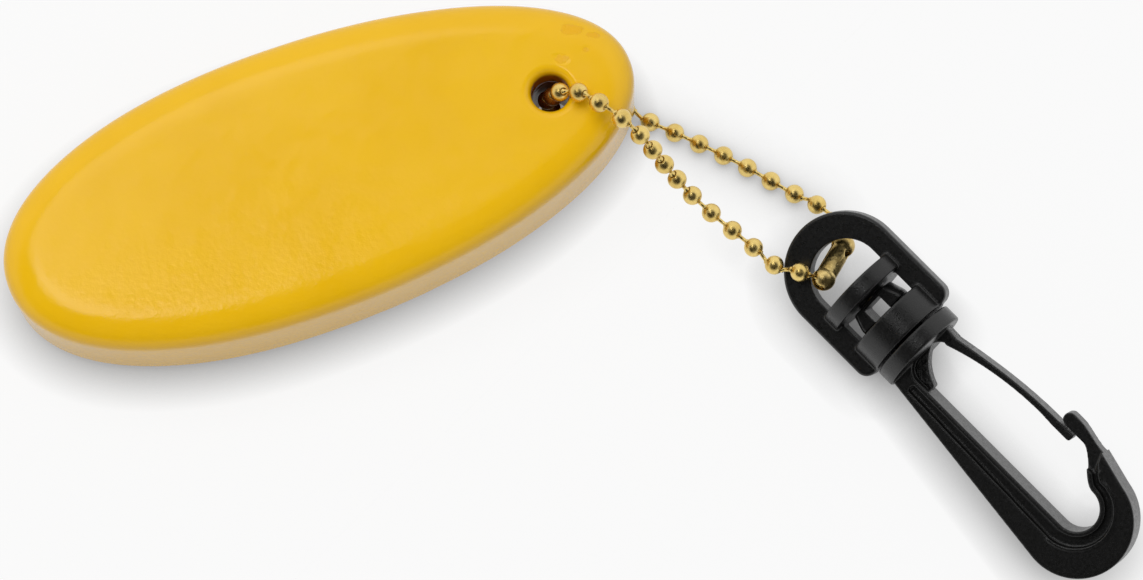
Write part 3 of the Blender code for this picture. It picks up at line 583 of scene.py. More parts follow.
def edge_profile():
    """Inset and drop of the rounded edge from the flat face to the side, with no sudden bend at its ends."""
    made = []
    power = 2 / EDGE_SOFTNESS
    for i in range(1, EDGE_STEPS + 1):
        angle = math.pi / 2 * i / EDGE_STEPS
        inset = FLOAT_EDGE_REACH * (1 - math.sin(angle) ** power)
        drop = FLOAT_EDGE_RADIUS * (1 - max(0, math.cos(angle)) ** power)
        made.append((inset, drop))
    return made


def face_rings(outline, height):
    """Rings across a flat face, from the bore's lip to the start of the rounded edge."""
    inner = bore_ring(outline, BORE_RADIUS + BORE_LIP, height)
    outer = edge_ring(outline, FLOAT_EDGE_REACH, height)
    made = []
    for i in range(1, FACE_STEPS):
        share = (i / FACE_STEPS) ** FACE_CROWDING
        made.append([a.lerp(b, share) for a, b in zip(inner, outer)])
    return made


def float_mesh():
    """Rings from the bore's wall over its lip, across the face, round the edge and back below."""
    outline = float_outline()
    edge = edge_profile()
    half = FLOAT_THICKNESS / 2
    lip_reach = BORE_RADIUS + BORE_LIP
    rings = []
    for reach, height in arc((lip_reach, half - BORE_LIP), BORE_LIP, 180, 90, LIP_STEPS):
        rings.append(bore_ring(outline, reach, height))
    rings += face_rings(outline, half)
    for inset, drop in edge:
        rings.append(edge_ring(outline, inset, half - drop))
    for i in range(1, SIDE_STEPS):
        rings.append(edge_ring(outline, 0, (half - FLOAT_EDGE_RADIUS) * (1 - 2 * i / SIDE_STEPS)))
    for inset, drop in reversed(edge):
        rings.append(edge_ring(outline, inset, drop - half))
    rings += face_rings(outline, -half)[::-1]
    for reach, height in arc((lip_reach, BORE_LIP - half), BORE_LIP, 270, 180, LIP_STEPS):
        rings.append(bore_ring(outline, reach, height))
    for i in range(1, WALL_STEPS):
        height = (BORE_LIP - half) * (1 - 2 * i / WALL_STEPS)
        above_ridge = (height - half + BORE_RIDGE_DEPTH) / BORE_RIDGE_WIDTH
        ridge = BORE_RIDGE_HEIGHT * math.exp(-above_ridge ** 2)
        rings.append(bore_ring(outline, BORE_RADIUS - ridge, height))
    mesh = grid_mesh("float_enamel", rings, close_rows=True)
    ripple(mesh)
    return mesh


def scuff_depth(point):
    """How deep the enamel's scuffs lie at a point of the float's top, from 0 to 1."""
    if point.z < FLOAT_THICKNESS / 4:
        return 0
    turn = Matrix.Rotation(-SCUFF_TURN, 3, "Z")
    deepest = 0
    for middle, half_length, half_width in SCUFFS:
        away = turn @ (point - middle)
        reach = math.hypot(away.x / half_length, away.y / half_width)
        reach += SCUFF_RAGGEDNESS * noise.noise(point * SCUFF_GRAIN)
        deepest = max(deepest, min(1, max(0, SCUFF_EDGE - reach) * SCUFF_STEEPNESS))
    return deepest


def ripple(mesh):
    """Pushes the surface inward: less than a tenth of a mm in low waves, and as much again in scuffs."""
    normals = [vertex.normal.copy() for vertex in mesh.vertices]
    for vertex, normal in zip(mesh.vertices, normals):
        broad = noise.noise(vertex.co * WAVE_SCALE)
        small = noise.noise(vertex.co * RIPPLE_SCALE + RIPPLE_SHIFT)
        depth = WAVE_DEPTH * (0.5 + 0.5 * broad) + WAVE_DEPTH * RIPPLE_SHARE * (0.5 + 0.5 * small)
        depth += SCUFF_DEPTH * scuff_depth(vertex.co)
        vertex.co -= normal * depth


def float_turn():
    """The float's axes: up from its top face, and along its length."""
    up = Vector(frame["record"]["mounts"][0]["axis"]).normalized()
    along = Vector((math.cos(FLOAT_HEADING), math.sin(FLOAT_HEADING), 0))
    along = (along - up * along.dot(up)).normalized()
    return placed(Vector(), along, up)


def add_float():
    """The float, with the middle of its box where the CAD float's is."""
    turn = float_turn()
    mesh = float_mesh()
    corners = [turn @ vertex.co for vertex in mesh.vertices]
    low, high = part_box("float_body")
    centre = Vector()
    for axis in range(3):
        values = [corner[axis] for corner in corners]
        centre[axis] = (low[axis] + high[axis]) / 2 - (min(values) + max(values)) / 2
    placement = Matrix.Translation(centre) @ turn
    piece = new_piece("float_enamel", mesh, paint_material(placement), placement)
    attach(piece, "keychain")
    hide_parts("float_body")


# Chain
def bead_name(index):
    """The CAD node of a bead, counted from 0."""
    return f"chain_bead_{index + 1:02d}"


def sphere_centre(node):
    """The centre of a bead's shell, found from the frame's vertices that lie on it."""
    points = [vertex.co.copy() for vertex in frame["nodes"][node].data.vertices]
    centre = sum(points, Vector()) / len(points)
    for _ in range(CENTRE_ROUNDS):
        near = [p for p in points if abs((p - centre).length - BEAD_RADIUS) < SHELL_REACH]
        shift = Vector()
        for point in near:
            away = point - centre
            shift += away * (1 - BEAD_RADIUS / away.length)
        centre += shift / len(near) * CENTRE_STRIDE
    return centre


def around(angle):
    """The angle brought within half a turn either way."""
    return math.atan2(math.sin(angle), math.cos(angle))


def bead_dent(gap, latitude):
    """How far a bead's wall lies inward at an angle from its slit, as a share of its radius."""
    share = SLIT_AT_EQUATOR + (1 - SLIT_AT_EQUATOR) * latitude
    dent = SLIT_DEPTH * math.exp(-((gap / SLIT_WIDTH) ** 2)) * share
    for pucker in PUCKERS:
        offset = around(gap - pucker)
        dent += PUCKER_DEPTH * math.exp(-((offset / PUCKER_WIDTH) ** 2)) * max(0, latitude - PUCKER_START)
    return dent


def bead_row(reach, height, seam=None):
    """A ring of a bead's wall, with its slit where a seam is given."""
    row = []
    for j in range(BEAD_COLUMNS):
        angle = 2 * math.pi * j / BEAD_COLUMNS
        scale = 1
        if seam is not None:
            scale -= bead_dent(around(angle - seam), abs(height) / BEAD_RADIUS)
        row.append(Vector((reach * math.cos(angle) * scale, reach * math.sin(angle) * scale, height)))
    return row


def bead_mesh(seam):
    """A hollow bead, rolled from strip: a hole at each pole and a fine slit along one meridian."""
    hole = math.degrees(math.asin(BEAD_HOLE_RADIUS / BEAD_RADIUS))
    inner = BEAD_RADIUS - BEAD_WALL
    near_wall = arc((0, 0), inner, 90 - hole, 90 - hole - INNER_TURN, INNER_ROWS)
    outside = arc((0, 0), BEAD_RADIUS, 90 - hole, hole - 90, BEAD_ROWS)
    far_wall = arc((0, 0), inner, hole - 90, hole - (90 - INNER_TURN), INNER_ROWS)
    rows = [bead_row(reach, height) for reach, height in reversed(near_wall)]
    rows += [bead_row(reach, height, seam) for reach, height in outside]
    rows += [bead_row(reach, height) for reach, height in far_wall]
    return grid_mesh("bead", rows)


def link_mesh(length):
    """A wire with a small collar where it enters each bead."""
    profile = [(reach, -inside) for reach, inside in LINK_HALF]
    profile.append((LINK_RADIUS, length / 2))
    profile += [(reach, length + inside) for reach, inside in reversed(LINK_HALF)]
    return grid_mesh("link", round_rows(profile, LINK_SIDES))


def within_height(centre):
    """The CAD beads are faceted, so a true sphere is moved by a hair to stay within the part's height."""
    low, high = CAD_BOX
    centre.z = min(max(centre.z, low[2] + BEAD_RADIUS), high[2] - BEAD_RADIUS)
    return centre


def add_chain(centres, gold):
    """The beads, each with its slit turned at random, and the links between them."""
    tangents = [(centres[1] - centres[0]).normalized()]
    for before, after in zip(centres, centres[2:]):
        tangents.append((after - before).normalized())
    tangents.append((centres[-1] - centres[-2]).normalized())
    chance = random.Random(RANDOM_SEED)
    for index, (centre, tangent) in enumerate(zip(centres, tangents)):
        turn = tangent.to_track_quat("Z", "Y").to_matrix().to_4x4()
        mesh = bead_mesh(chance.uniform(0, 2 * math.pi))
        placement = Matrix.Translation(centre) @ turn
        bead = new_piece(f"gold_bead_{index + 1:02d}", mesh, gold, placement)
        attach(bead, "keychain")
        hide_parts(bead_name(index))
    for index in range(BEAD_COUNT - 1):
        leave = centres[index] + tangents[index] * BEAD_RADIUS
        enter = centres[index + 1] - tangents[index + 1] * BEAD_RADIUS
        turn = (enter - leave).to_track_quat("Z", "Y").to_matrix().to_4x4()
        mesh = link_mesh((enter - leave).length)
        placement = Matrix.Translation(leave) @ turn
        link = new_piece(f"gold_link_{index + 1:02d}", mesh, gold, placement)
        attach(link, "keychain")


# Chain connector
def add_connector(centres, dull):
    """The folded brass strip that holds the first and the last bead in its cups."""
    left = centres[0]
    right = centres[-1]
    axis = (right - left).normalized()
    reach = (right - left).length / 2
    side = (centres[1] - left).normalized() + (centres[-2] - right).normalized()
    side = (side - axis * side.dot(axis)).normalized()
    placement = placed((left + right) / 2, side, axis)
    half = []
    for radius, waist in ((CUP_RADIUS, WAIST_RADIUS), (CUP_RADIUS - CUP_WALL, WAIST_RADIUS - CUP_WALL)):
        mouth = math.degrees(math.asin(CUP_MOUTH_RADIUS / radius))
        bottom = -math.degrees(math.acos(waist / radius))
        cup = arc((0, reach), radius, 90 - mouth, bottom, CUP_STEPS)
        half.append(cup + [(r, -z) for r, z in reversed(cup)])
    shell = scratch_object(turned(half[0] + half[1][::-1], SHELL_STEPS))
    cutters = [
        box_object((2 * CUP_RADIUS, SLOT_WIDTH, 3 * reach + 4 * CUP_RADIUS), (CUP_RADIUS, 0, 0)),
        disc_object(NOTCH_RADIUS, 0, 2 * CUP_RADIUS, NOTCH_STEPS),
    ]
    notch_at = Matrix.Translation((-NOTCH_FROM_AXIS, 0, reach * NOTCH_PLACE))
    cutters[1].matrix_world = notch_at @ Matrix.Rotation(math.radians(90), 4, "Z")
    for cup, neighbour in ((left, centres[1]), (right, centres[-2])):
        window = disc_object(WINDOW_RADIUS, 0, 2 * CUP_RADIUS, NOTCH_STEPS)
        turn = (neighbour - cup).to_track_quat("X", "Z").to_matrix().to_4x4()
        window.matrix_world = placement.inverted() @ Matrix.Translation(cup) @ turn
        cutters.append(window)
    mesh = assemble(shell, [(cutter, "DIFFERENCE") for cutter in cutters], CONNECTOR_GRAIN)
    piece = new_piece("brass_connector", mesh, dull, placement)
    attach(piece, "keychain")
    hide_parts("chain_connector")


# Shapes
def arc(centre, radius, start, end, steps=ARC_STEPS):
    """Points of a circle's arc, from start to end in degrees, both included."""
    points = []
    for i in range(steps + 1):
        angle = math.radians(start + (end - start) * i / steps)
        points.append((centre[0] + radius * math.cos(angle), centre[1] + radius * math.sin(angle)))
    return points


def arc_between(start, end, radius, steps=ARC_STEPS):
    """Points of an arc of that radius, which turns clockwise from start to end."""
    start = Vector(start)
    end = Vector(end)
    half_chord = (end - start) / 2
    aside = Vector((half_chord.y, -half_chord.x)).normalized()
    centre = start + half_chord + aside * math.sqrt(radius ** 2 - half_chord.length ** 2)
    first = math.atan2(start.y - centre.y, start.x - centre.x)
    sweep = 2 * math.asin(half_chord.length / radius)
    return arc(centre, radius, math.degrees(first), math.degrees(first - sweep), steps)


def s_curve(start, end, steps=ARC_STEPS):
    """Points that leave start and reach end along x, with a smooth step in y between them."""
    points = []
    for i in range(steps + 1):
        share = i / steps
        ease = share * share * (3 - 2 * share)
        points.append((start[0] + (end[0] - start[0]) * share, start[1] + (end[1] - start[1]) * ease))
    return points


def offset_line(points, distances):
    """The line moved sideways, to the right of its direction, by a distance at each point."""
    moved = []
    for i, distance in enumerate(distances):
        before = Vector(points[max(i - 1, 0)])
        after = Vector(points[min(i + 1, len(points) - 1)])
        direction = (after - before).normalized()
        moved.append((points[i][0] + direction.y * distance, points[i][1] - direction.x * distance))
    return moved


def round_rows(profile, steps):
    """Rings about Z through pairs of reach and height."""
    angles = [2 * math.pi * j / steps for j in range(steps)]
    rows = []
    for reach, height in profile:
        rows.append([Vector((reach * math.cos(a), reach * math.sin(a), height)) for a in angles])
    return rows


def turned(profile, steps):
    """A closed half section, as pairs of reach and height, turned about Z."""
    return grid_mesh("turned", round_rows(profile, steps), close_rows=True)


def scratch_object(mesh):
    """An object that is used up while a piece is made."""
    made = bpy.data.objects.new("form", mesh)
    bpy.context.scene.collection.objects.link(made)
    return made


def slab(points, depth, height=0.0, edge=0.0):
    """An outline extruded about the plane at that height, with rounded edges."""
    curve = bpy.data.curves.new("outline", "CURVE")
    curve.dimensions = "2D"
    curve.fill_mode = "BOTH"
    curve.extrude = depth / 2
    spline = curve.splines.new("POLY")
    spline.points.add(len(points) - 1)
    for target, (x, y) in zip(spline.points, points):
        target.co = (x, y, 0, 1)
    spline.use_cyclic_u = True
    holder = scratch_object(curve)
    mesh = evaluated_mesh(holder)
    bpy.data.objects.remove(holder)
    shape = bmesh.new()
    shape.from_mesh(mesh)
    bmesh.ops.remove_doubles(shape, verts=shape.verts, dist=MERGE_REACH)
    bmesh.ops.recalc_face_normals(shape, faces=shape.faces)
    for facing in (-1, 1):
        cap = [face for face in shape.faces if face.normal.z * facing > LEVEL_NORMAL]
        bmesh.ops.dissolve_faces(shape, faces=cap)
    bmesh.ops.translate(shape, verts=shape.verts, vec=(0, 0, height))
    shape.to_mesh(mesh)
    shape.free()
    made = scratch_object(mesh)
    if edge:
        add_bevel(made, edge)
    return made


def disc_object(radius, start, end, steps=DISC_STEPS, edge=0.0):
    """A round solid about local X, from start to end."""
    mesh = bpy.data.meshes.new("disc")
    shape = bmesh.new()
    turn = Matrix.Translation(((start + end) / 2, 0, 0)) @ Matrix.Rotation(math.radians(90), 4, "Y")
    bmesh.ops.create_cone(
        shape, cap_ends=True, segments=steps, radius1=radius, radius2=radius, depth=end - start, matrix=turn,
    )
    shape.to_mesh(mesh)
    shape.free()
    made = scratch_object(mesh)
    if edge:
        add_bevel(made, edge)
    return made


def box_object(size, centre):
    """A block of that size about its centre."""
    mesh = bpy.data.meshes.new("box")
    shape = bmesh.new()
    bmesh.ops.create_cube(shape, size=1.0, matrix=Matrix.Translation(centre) @ Matrix.Diagonal((*size, 1)))
    shape.to_mesh(mesh)
    shape.free()
    return scratch_object(mesh)


def add_bevel(made, width):
    """Rounds the sharp edges of a solid."""
    bevel = made.modifiers.new("Edges", "BEVEL")
    bevel.width = width
    bevel.segments = BEVEL_STEPS
    bevel.limit_method = "ANGLE"
    bevel.angle_limit = SHARP_ANGLE
    bevel.use_clamp_overlap = True


def assemble(base, steps, grain=SURFACE_GRAIN):
    """Joins and cuts solids, then softens every edge as a moulding does by resampling the surface."""
    for other, operation in steps:
        modifier = base.modifiers.new("Step", "BOOLEAN")
        modifier.operation = operation
        modifier.solver = "EXACT"
        modifier.object = other
    solid = evaluated_mesh(base)
    for used in [base] + [other for other, operation in steps]:
        bpy.data.objects.remove(used)
    solid.transform(Matrix.Scale(1 / MM, 4))
    holder = scratch_object(solid)
    remesh = holder.modifiers.new("Surface", "REMESH")
    remesh.mode = "VOXEL"
    remesh.voxel_size = grain / MM
    remesh.use_smooth_shade = True
    soften = holder.modifiers.new("Soften", "SMOOTH")
    soften.factor = SOFTEN_SHARE
    soften.iterations = SOFTEN_STEPS
    mesh = evaluated_mesh(holder)
    bpy.data.objects.remove(holder)
    mesh.transform(Matrix.Scale(MM, 4))
    return mesh


def evaluated_mesh(made):
    """The mesh of an object with its modifiers applied."""
    bpy.context.view_layer.update()
    graph = bpy.context.evaluated_depsgraph_get()
    return bpy.data.meshes.new_from_object(made.evaluated_get(graph))


# Swivel loop
def add_swivel_loop(plastic):
    """The D with its two bearing bands, one moulding."""
    lower_end = -FLANGE_WIDTH - RUNNING_GAP
    lower_start = lower_end - LOWER_BAND_WIDTH
    upper_end = lower_start - BAND_GAP
    upper_start = upper_end - UPPER_BAND_WIDTH
    half = LOOP_WIDTH / 2
    arch = LOOP_TOP + half
    outline = arc((arch, 0), half, 90, 270, 3 * ARC_STEPS)
    outline += arc((lower_end - LOOP_CORNER, LOOP_CORNER - half), LOOP_CORNER, -90, 0, CORNER_STEPS)
    outline += arc((lower_end - LOOP_CORNER, half - LOOP_CORNER), LOOP_CORNER, 0, 90, CORNER_STEPS)
    loop = slab(outline, LOOP_DEPTH, 0, MOULD_EDGE)
    inner = half - LOOP_RAIL
    opening = arc((arch + LOOP_CROWN, 0), inner, 90, 270, 3 * ARC_STEPS)
    opening += [(lower_end + OVERSHOOT, -inner), (lower_end + OVERSHOOT, inner)]
    steps = [(slab(opening, 4 * LOOP_DEPTH), "DIFFERENCE")]
    for start, end in ((lower_start, lower_end), (upper_start, upper_end)):
        steps.append((disc_object(BAND_RADIUS, start, end, edge=MOULD_EDGE / 2), "UNION"))
    for radius, start, end in (
        (STEM_RADIUS, lower_start - OVERSHOOT, lower_end + OVERSHOOT),
        (TIP_RADIUS, upper_start - OVERSHOOT, upper_end + OVERSHOOT),
    ):
        steps.append((disc_object(radius + STEM_CLEARANCE, start, end, HOLE_STEPS), "DIFFERENCE"))
    mesh = assemble(loop, steps)
    piece = new_piece("moulded_loop", mesh, plastic, SWIVEL_PLACEMENT)
    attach(piece, "keychain")
    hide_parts("swivel_loop")


# Snap hook
def nose_inner():
    """How far the nose's inner side lies from the swivel's axis."""
    return NOSE_OUTER - NOSE_WIDTH


def eye_line():
    """The inner edge of the eye, from the fillet at the flange along the spine and round to the nose."""
    crotch = (CROTCH_ALONG, SPINE_INNER + CROTCH_RADIUS)
    line = [(FILLET_RADIUS, SPINE_INNER)]
    line += arc(crotch, CROTCH_RADIUS, -90, 90, 2 * ARC_STEPS)
    line += s_curve(line[-1], (NOSE_TIP + NOSE_LENGTH, nose_inner()))[1:]
    return line


def hook_outline():
    """The hook's outline: spine, bend, nose and eye, counter-clockwise from the flange."""
    rise = SPINE_ROOT_OUTER - (BEND_CENTRE[1] - BEND_RADIUS)
    spine_angle = 90 + math.degrees(math.atan2(rise, BEND_CENTRE[0]))
    outline = [(-FLANGE_WIDTH / 2, SPINE_ROOT_OUTER), (0, SPINE_ROOT_OUTER)]
    outline += arc(BEND_CENTRE, BEND_RADIUS, -spine_angle, BEND_END, 4 * ARC_STEPS)
    tip_radius = NOSE_WIDTH / 2
    shoulder = (NOSE_TIP + NOSE_SHELF, NOSE_OUTER - NOSE_SHOULDER)
    outline += s_curve(shoulder, (NOSE_TIP + 2 * tip_radius, NOSE_OUTER), ARC_STEPS)
    outline += arc((NOSE_TIP + tip_radius, NOSE_OUTER - tip_radius), tip_radius, 90, 270, ARC_STEPS)
    outline += eye_line()[:0:-1]
    fillet = (FILLET_RADIUS, SPINE_INNER + FILLET_RADIUS)
    outline += arc(fillet, FILLET_RADIUS, 270, 180, ARC_STEPS)
    outline.append((-FLANGE_WIDTH / 2, SPINE_INNER + FILLET_RADIUS))
    return outline


def groove_widths(count):
    """How far the groove's outer border lies from the eye at each point, narrowing to its end."""
    widths = []
    for i in range(count):
        share = i / (count - 1)
        widths.append(RIB_WIDTH + GROOVE_WIDTH + (GROOVE_END_WIDTH - GROOVE_WIDTH) * share)
    return widths


def groove_outline():
    """The channel in each face, which follows the eye's edge at the width of a rib."""
    line = eye_line()[:-GROOVE_STOP]
    ribs = [RIB_WIDTH] * len(line)
    widths = [RIB_WIDTH + GROOVE_START_WIDTH] + groove_widths(len(line) - 1)
    return offset_line(line, ribs) + offset_line(line, widths)[::-1]


def gusset_outline():
    """The thin web in the corner between the spine and the flange, with a hollow edge towards the eye."""
    foot = (GUSSET_LENGTH, SPINE_INNER + GUSSET_WEB)
    head = (0, SPINE_INNER + GUSSET_REACH)
    outline = [(-OVERSHOOT, SPINE_INNER - RIB_WIDTH), (GUSSET_LENGTH, SPINE_INNER - RIB_WIDTH)]
    outline += arc_between(foot, head, GUSSET_CURVE)
    outline.append((-OVERSHOOT, SPINE_INNER + GUSSET_REACH))
    return outline


def shelf_outline():
    """Where each face of the hook steps back to the thin nose."""
    below = nose_inner() - NOSE_WIDTH
    above = NOSE_OUTER + NOSE_WIDTH
    return [
        (NOSE_TIP - OVERSHOOT, below),
        (NOSE_TIP + NOSE_SHELF + SHELF_SLANT / 2, below),
        (NOSE_TIP + NOSE_SHELF - SHELF_SLANT / 2, above),
        (NOSE_TIP - OVERSHOOT, above),
    ]


def gate_flare_outline():
    """The foot that carries the gate's leaf, with a hollow edge down to the flange."""
    y = GATE_ROOT.y
    outline = [(-OVERSHOOT, y - GATE_FLARE)]
    leaf = (GATE_FLARE_REACH, y - GATE_FOOT_INNER)
    outline += arc_between((0, y - GATE_FLARE), leaf, GATE_FLARE_CURVE)
    outline.append((GATE_FLARE_REACH, y + GATE_FOOT_OUTER))
    outline += [(0, y + GATE_FOOT_ROOT), (-OVERSHOOT, y + GATE_FOOT_ROOT)]
    return outline


def raised_line():
    """The thin raised line along the groove's outer border, from the gusset to the end of the crotch."""
    line = eye_line()[1:-LINE_STOP]
    widths = groove_widths(len(line))
    outer = [width + LINE_WIDTH for width in widths]
    return offset_line(line, widths) + offset_line(line, outer)[::-1]


def stem_profile():
    """Half section of the swivel's stem: a shank, a barbed head above it, and a tip that steers it."""
    shank_end = FLANGE_WIDTH + RUNNING_GAP + LOWER_BAND_WIDTH + RUNNING_GAP
    head_end = FLANGE_WIDTH + RUNNING_GAP + LOWER_BAND_WIDTH + BAND_GAP - RUNNING_GAP
    return [
        (STEM_SLIVER, head_end + TIP_LENGTH),
        (TIP_RADIUS * TIP_CHAMFER, head_end + TIP_LENGTH),
        (TIP_RADIUS, head_end + TIP_LENGTH * TIP_CHAMFER),
        (TIP_RADIUS, head_end),
        (HEAD_NECK_RADIUS, head_end),
        (HEAD_RADIUS, shank_end + HEAD_BARB),
        (HEAD_RADIUS, shank_end),
        (STEM_RADIUS, shank_end),
        (STEM_RADIUS, FLANGE_WIDTH / 2),
        (STEM_SLIVER, FLANGE_WIDTH / 2),
    ]


def stem_steps():
    """The flange and the split stem that the hook turns on."""
    band_end = -FLANGE_WIDTH - RUNNING_GAP
    head_end = band_end - LOWER_BAND_WIDTH - BAND_GAP + RUNNING_GAP
    stem = scratch_object(turned(stem_profile(), STEM_STEPS))
    stem.matrix_world = Matrix.Rotation(math.radians(-90), 4, "Y")
    slot_start = head_end + HEAD_BRIDGE
    slot = box_object(
        (band_end - slot_start, STEM_SLOT, 4 * HEAD_RADIUS), ((slot_start + band_end) / 2, 0, 0),
    )
    steps = [
        (disc_object(BAND_RADIUS, -FLANGE_WIDTH, 0, edge=MOULD_EDGE / 2), "UNION"),
        (stem, "UNION"),
        (slot, "DIFFERENCE"),
    ]
    flat_end = band_end - LOWER_BAND_WIDTH
    flat_start = head_end - OVERSHOOT
    for side in (-1, 1):
        flat = box_object(
            (flat_end - flat_start, 4 * HEAD_RADIUS, HEAD_RADIUS),
            ((flat_start + flat_end) / 2, 0, side * (HEAD_DEPTH + HEAD_RADIUS) / 2),
        )
        steps.append((flat, "DIFFERENCE"))
    return steps


def ejector_mark():
    """A shallow ring that the mould's ejector pin leaves."""
    inside = EJECTOR_RADIUS - EJECTOR_RING
    bottom = HOOK_DEPTH / 2 - EJECTOR_DEPTH
    top = HOOK_DEPTH / 2 + OVERSHOOT
    profile = [(inside, bottom), (EJECTOR_RADIUS, bottom), (EJECTOR_RADIUS, top), (inside, top)]
    mark = scratch_object(turned(profile, EJECTOR_STEPS))
    mark.matrix_world = Matrix.Translation((*EJECTOR_PLACE, 0))
    return mark


def add_snap_hook(plastic):
    """The hook with its channels, web, gate foot and swivel stem, one moulding."""
    hook = slab(hook_outline(), HOOK_DEPTH, 0, MOULD_EDGE)
    steps = []
    for side in (-1, 1):
        height = side * HOOK_DEPTH / 2
        steps.append((slab(groove_outline(), 2 * GROOVE_DEPTH, height, GROOVE_DEPTH / 3), "DIFFERENCE"))
        steps.append((slab(shelf_outline(), HOOK_DEPTH - NOSE_DEPTH, height), "DIFFERENCE"))
    steps.append((slab(gusset_outline(), GUSSET_DEPTH), "UNION"))
    steps.append((slab(gate_flare_outline(), GATE_DEPTH, 0, MOULD_EDGE / 2), "UNION"))
    steps.append((slab(raised_line(), HOOK_DEPTH + 2 * LINE_HEIGHT), "UNION"))
    steps += stem_steps()
    steps.append((ejector_mark(), "DIFFERENCE"))
    mesh = assemble(hook, steps)
    piece = new_piece("moulded_hook", mesh, plastic, SWIVEL_PLACEMENT)
    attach(piece, "hook")
    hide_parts("snap_hook")


def gate_outline():
    """The leaf spring, bowed outward from its root in the flange to the block that closes on the nose."""
    outer = nose_inner() - GATE_CLEARANCE
    tip_end = NOSE_TIP + GATE_TIP_LENGTH
    leaf_end = NOSE_TIP - GATE_CLEARANCE
    rise = outer - GATE_THICKNESS / 2 - GATE_ROOT.y
    line = []
    halves = []
    for i in range(ARC_STEPS + 1):
        share = i / ARC_STEPS
        x = GATE_ROOT.x + (leaf_end - GATE_ROOT.x) * share
        line.append((x, GATE_ROOT.y + rise * (1 - (1 - share) ** 2)))
        fade = (1 - share) ** GATE_ROOT_FADE
        halves.append(GATE_THICKNESS / 2 + (GATE_ROOT_HALF - GATE_THICKNESS / 2) * fade)
    thicker = GATE_TIP_THICKNESS - GATE_THICKNESS
    tip_halves = [half + thicker * (i / ARC_STEPS) ** GATE_TIP_FADE for i, half in enumerate(halves)]
    low_side = offset_line(line, tip_halves)
    top_side = offset_line(line, [-half for half in halves])
    lean = math.degrees(math.atan2(line[1][1] - line[0][1], line[1][0] - line[0][0]))
    outline = arc((GATE_ROOT.x, GATE_ROOT.y), GATE_ROOT_HALF, lean + 90, lean + 270, GATE_ROOT_STEPS)
    outline += low_side[1:]
    outline.append((leaf_end, outer - GATE_TIP_THICKNESS))
    corner = (tip_end - GATE_TIP_ROUND, outer - GATE_TIP_THICKNESS + GATE_TIP_ROUND)
    outline += arc(corner, GATE_TIP_ROUND, -90, 0, GATE_TIP_STEPS)
    outline.append((tip_end, outer))
    outline += top_side[:0:-1]
    return outline


def add_gate(plastic):
    """The gate is rigid here, as its body is, and turns about its round root in the hook's foot."""
    mesh = assemble(slab(gate_outline(), GATE_DEPTH, 0, MOULD_EDGE / 2), [], GATE_GRAIN)
    piece = new_piece("moulded_gate", mesh, plastic, SWIVEL_PLACEMENT)
    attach(piece, "gate_leaf")
    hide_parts("gate")


# Stage
def add_floor():
    """A white floor that keeps the object's real shadow in its diffuse share, plus a painted contact shadow: an
    ambient occlusion node darkens its glow near the object.
    """
    mesh = bpy.data.meshes.new("floor")
    reach = FLOOR_REACH
    corners = [(-reach, -reach, 0), (reach, -reach, 0), (reach, reach, 0), (-reach, reach, 0)]
    mesh.from_pydata(corners, [], [(0, 1, 2, 3)])
    floor = bpy.data.objects.new("floor", mesh)
    floor.location.z = -FLOOR_GAP
    bpy.context.scene.collection.objects.link(floor)
    material = bpy.data.materials.new("pale_floor")
    material.use_nodes = True
    tree = material.node_tree
    tree.nodes.remove(tree.nodes["Principled BSDF"])
    diffuse = tree.nodes.new("ShaderNodeBsdfDiffuse")
    diffuse.inputs["Color"].default_value = (FLOOR_TONE, FLOOR_TONE, FLOOR_TONE, 1)
    glow_with_painted_shadow = tree.nodes.new("ShaderNodeEmission")
    # Painted contact shadow: the ambient occlusion colour darkens the floor's glow near the object
    near = tree.nodes.new("ShaderNodeAmbientOcclusion")
    near.inputs["Distance"].default_value = PAINTED_SHADOW_REACH
    tree.links.new(near.outputs["Color"], glow_with_painted_shadow.inputs["Color"])
    mix = tree.nodes.new("ShaderNodeMixShader")
    tree.links.new(math_node(tree, "MULTIPLY", seen_directly(tree), FLOOR_GLOW), mix.inputs["Fac"])
    tree.links.new(diffuse.outputs["BSDF"], mix.inputs[1])
    tree.links.new(glow_with_painted_shadow.outputs["Emission"], mix.inputs[2])
    tree.links.new(mix.outputs["Shader"], tree.nodes["Material Output"].inputs["Surface"])
    mesh.materials.append(material)


def math_node(tree, operation, first, second):
    """A math node over a socket and a second socket or number."""
    made = tree.nodes.new("ShaderNodeMath")
    made.operation = operation
    tree.links.new(first, made.inputs[0])
    if isinstance(second, bpy.types.NodeSocket):
        tree.links.new(second, made.inputs[1])
    else:
        made.inputs[1].default_value = second
    return made.outputs["Value"]


def seen_directly(tree):
    """1 for camera, mirror and glass rays, and 0 for the light that falls on the object."""
    path = tree.nodes.new("ShaderNodeLightPath").outputs
    seen = math_node(tree, "MAXIMUM", path["Is Camera Ray"], path["Is Glossy Ray"])
    return math_node(tree, "MAXIMUM", seen, path["Is Transmission Ray"])


def add_world():
    """A white surround for the camera, soft even light, and a dim ceiling in what mirrors the room."""
    world = bpy.data.worlds.new("studio")
    world.use_nodes = True
    bpy.context.scene.world = world
    tree = world.node_tree
    dim = tree.nodes["Background"]
    dim.inputs["Color"].default_value = (1, 1, 1, 1)
    dim.inputs["Strength"].default_value = AMBIENT
    white = tree.nodes.new("ShaderNodeBackground")
    white.inputs["Color"].default_value = (1, 1, 1, 1)
    tree.links.new(room_tone(tree), white.inputs["Strength"])
    mix = tree.nodes.new("ShaderNodeMixShader")
    tree.links.new(seen_directly(tree), mix.inputs["Fac"])
    tree.links.new(dim.outputs["Background"], mix.inputs[1])
    tree.links.new(white.outputs["Background"], mix.inputs[2])
    tree.links.new(mix.outputs["Shader"], tree.nodes["World Output"].inputs["Surface"])


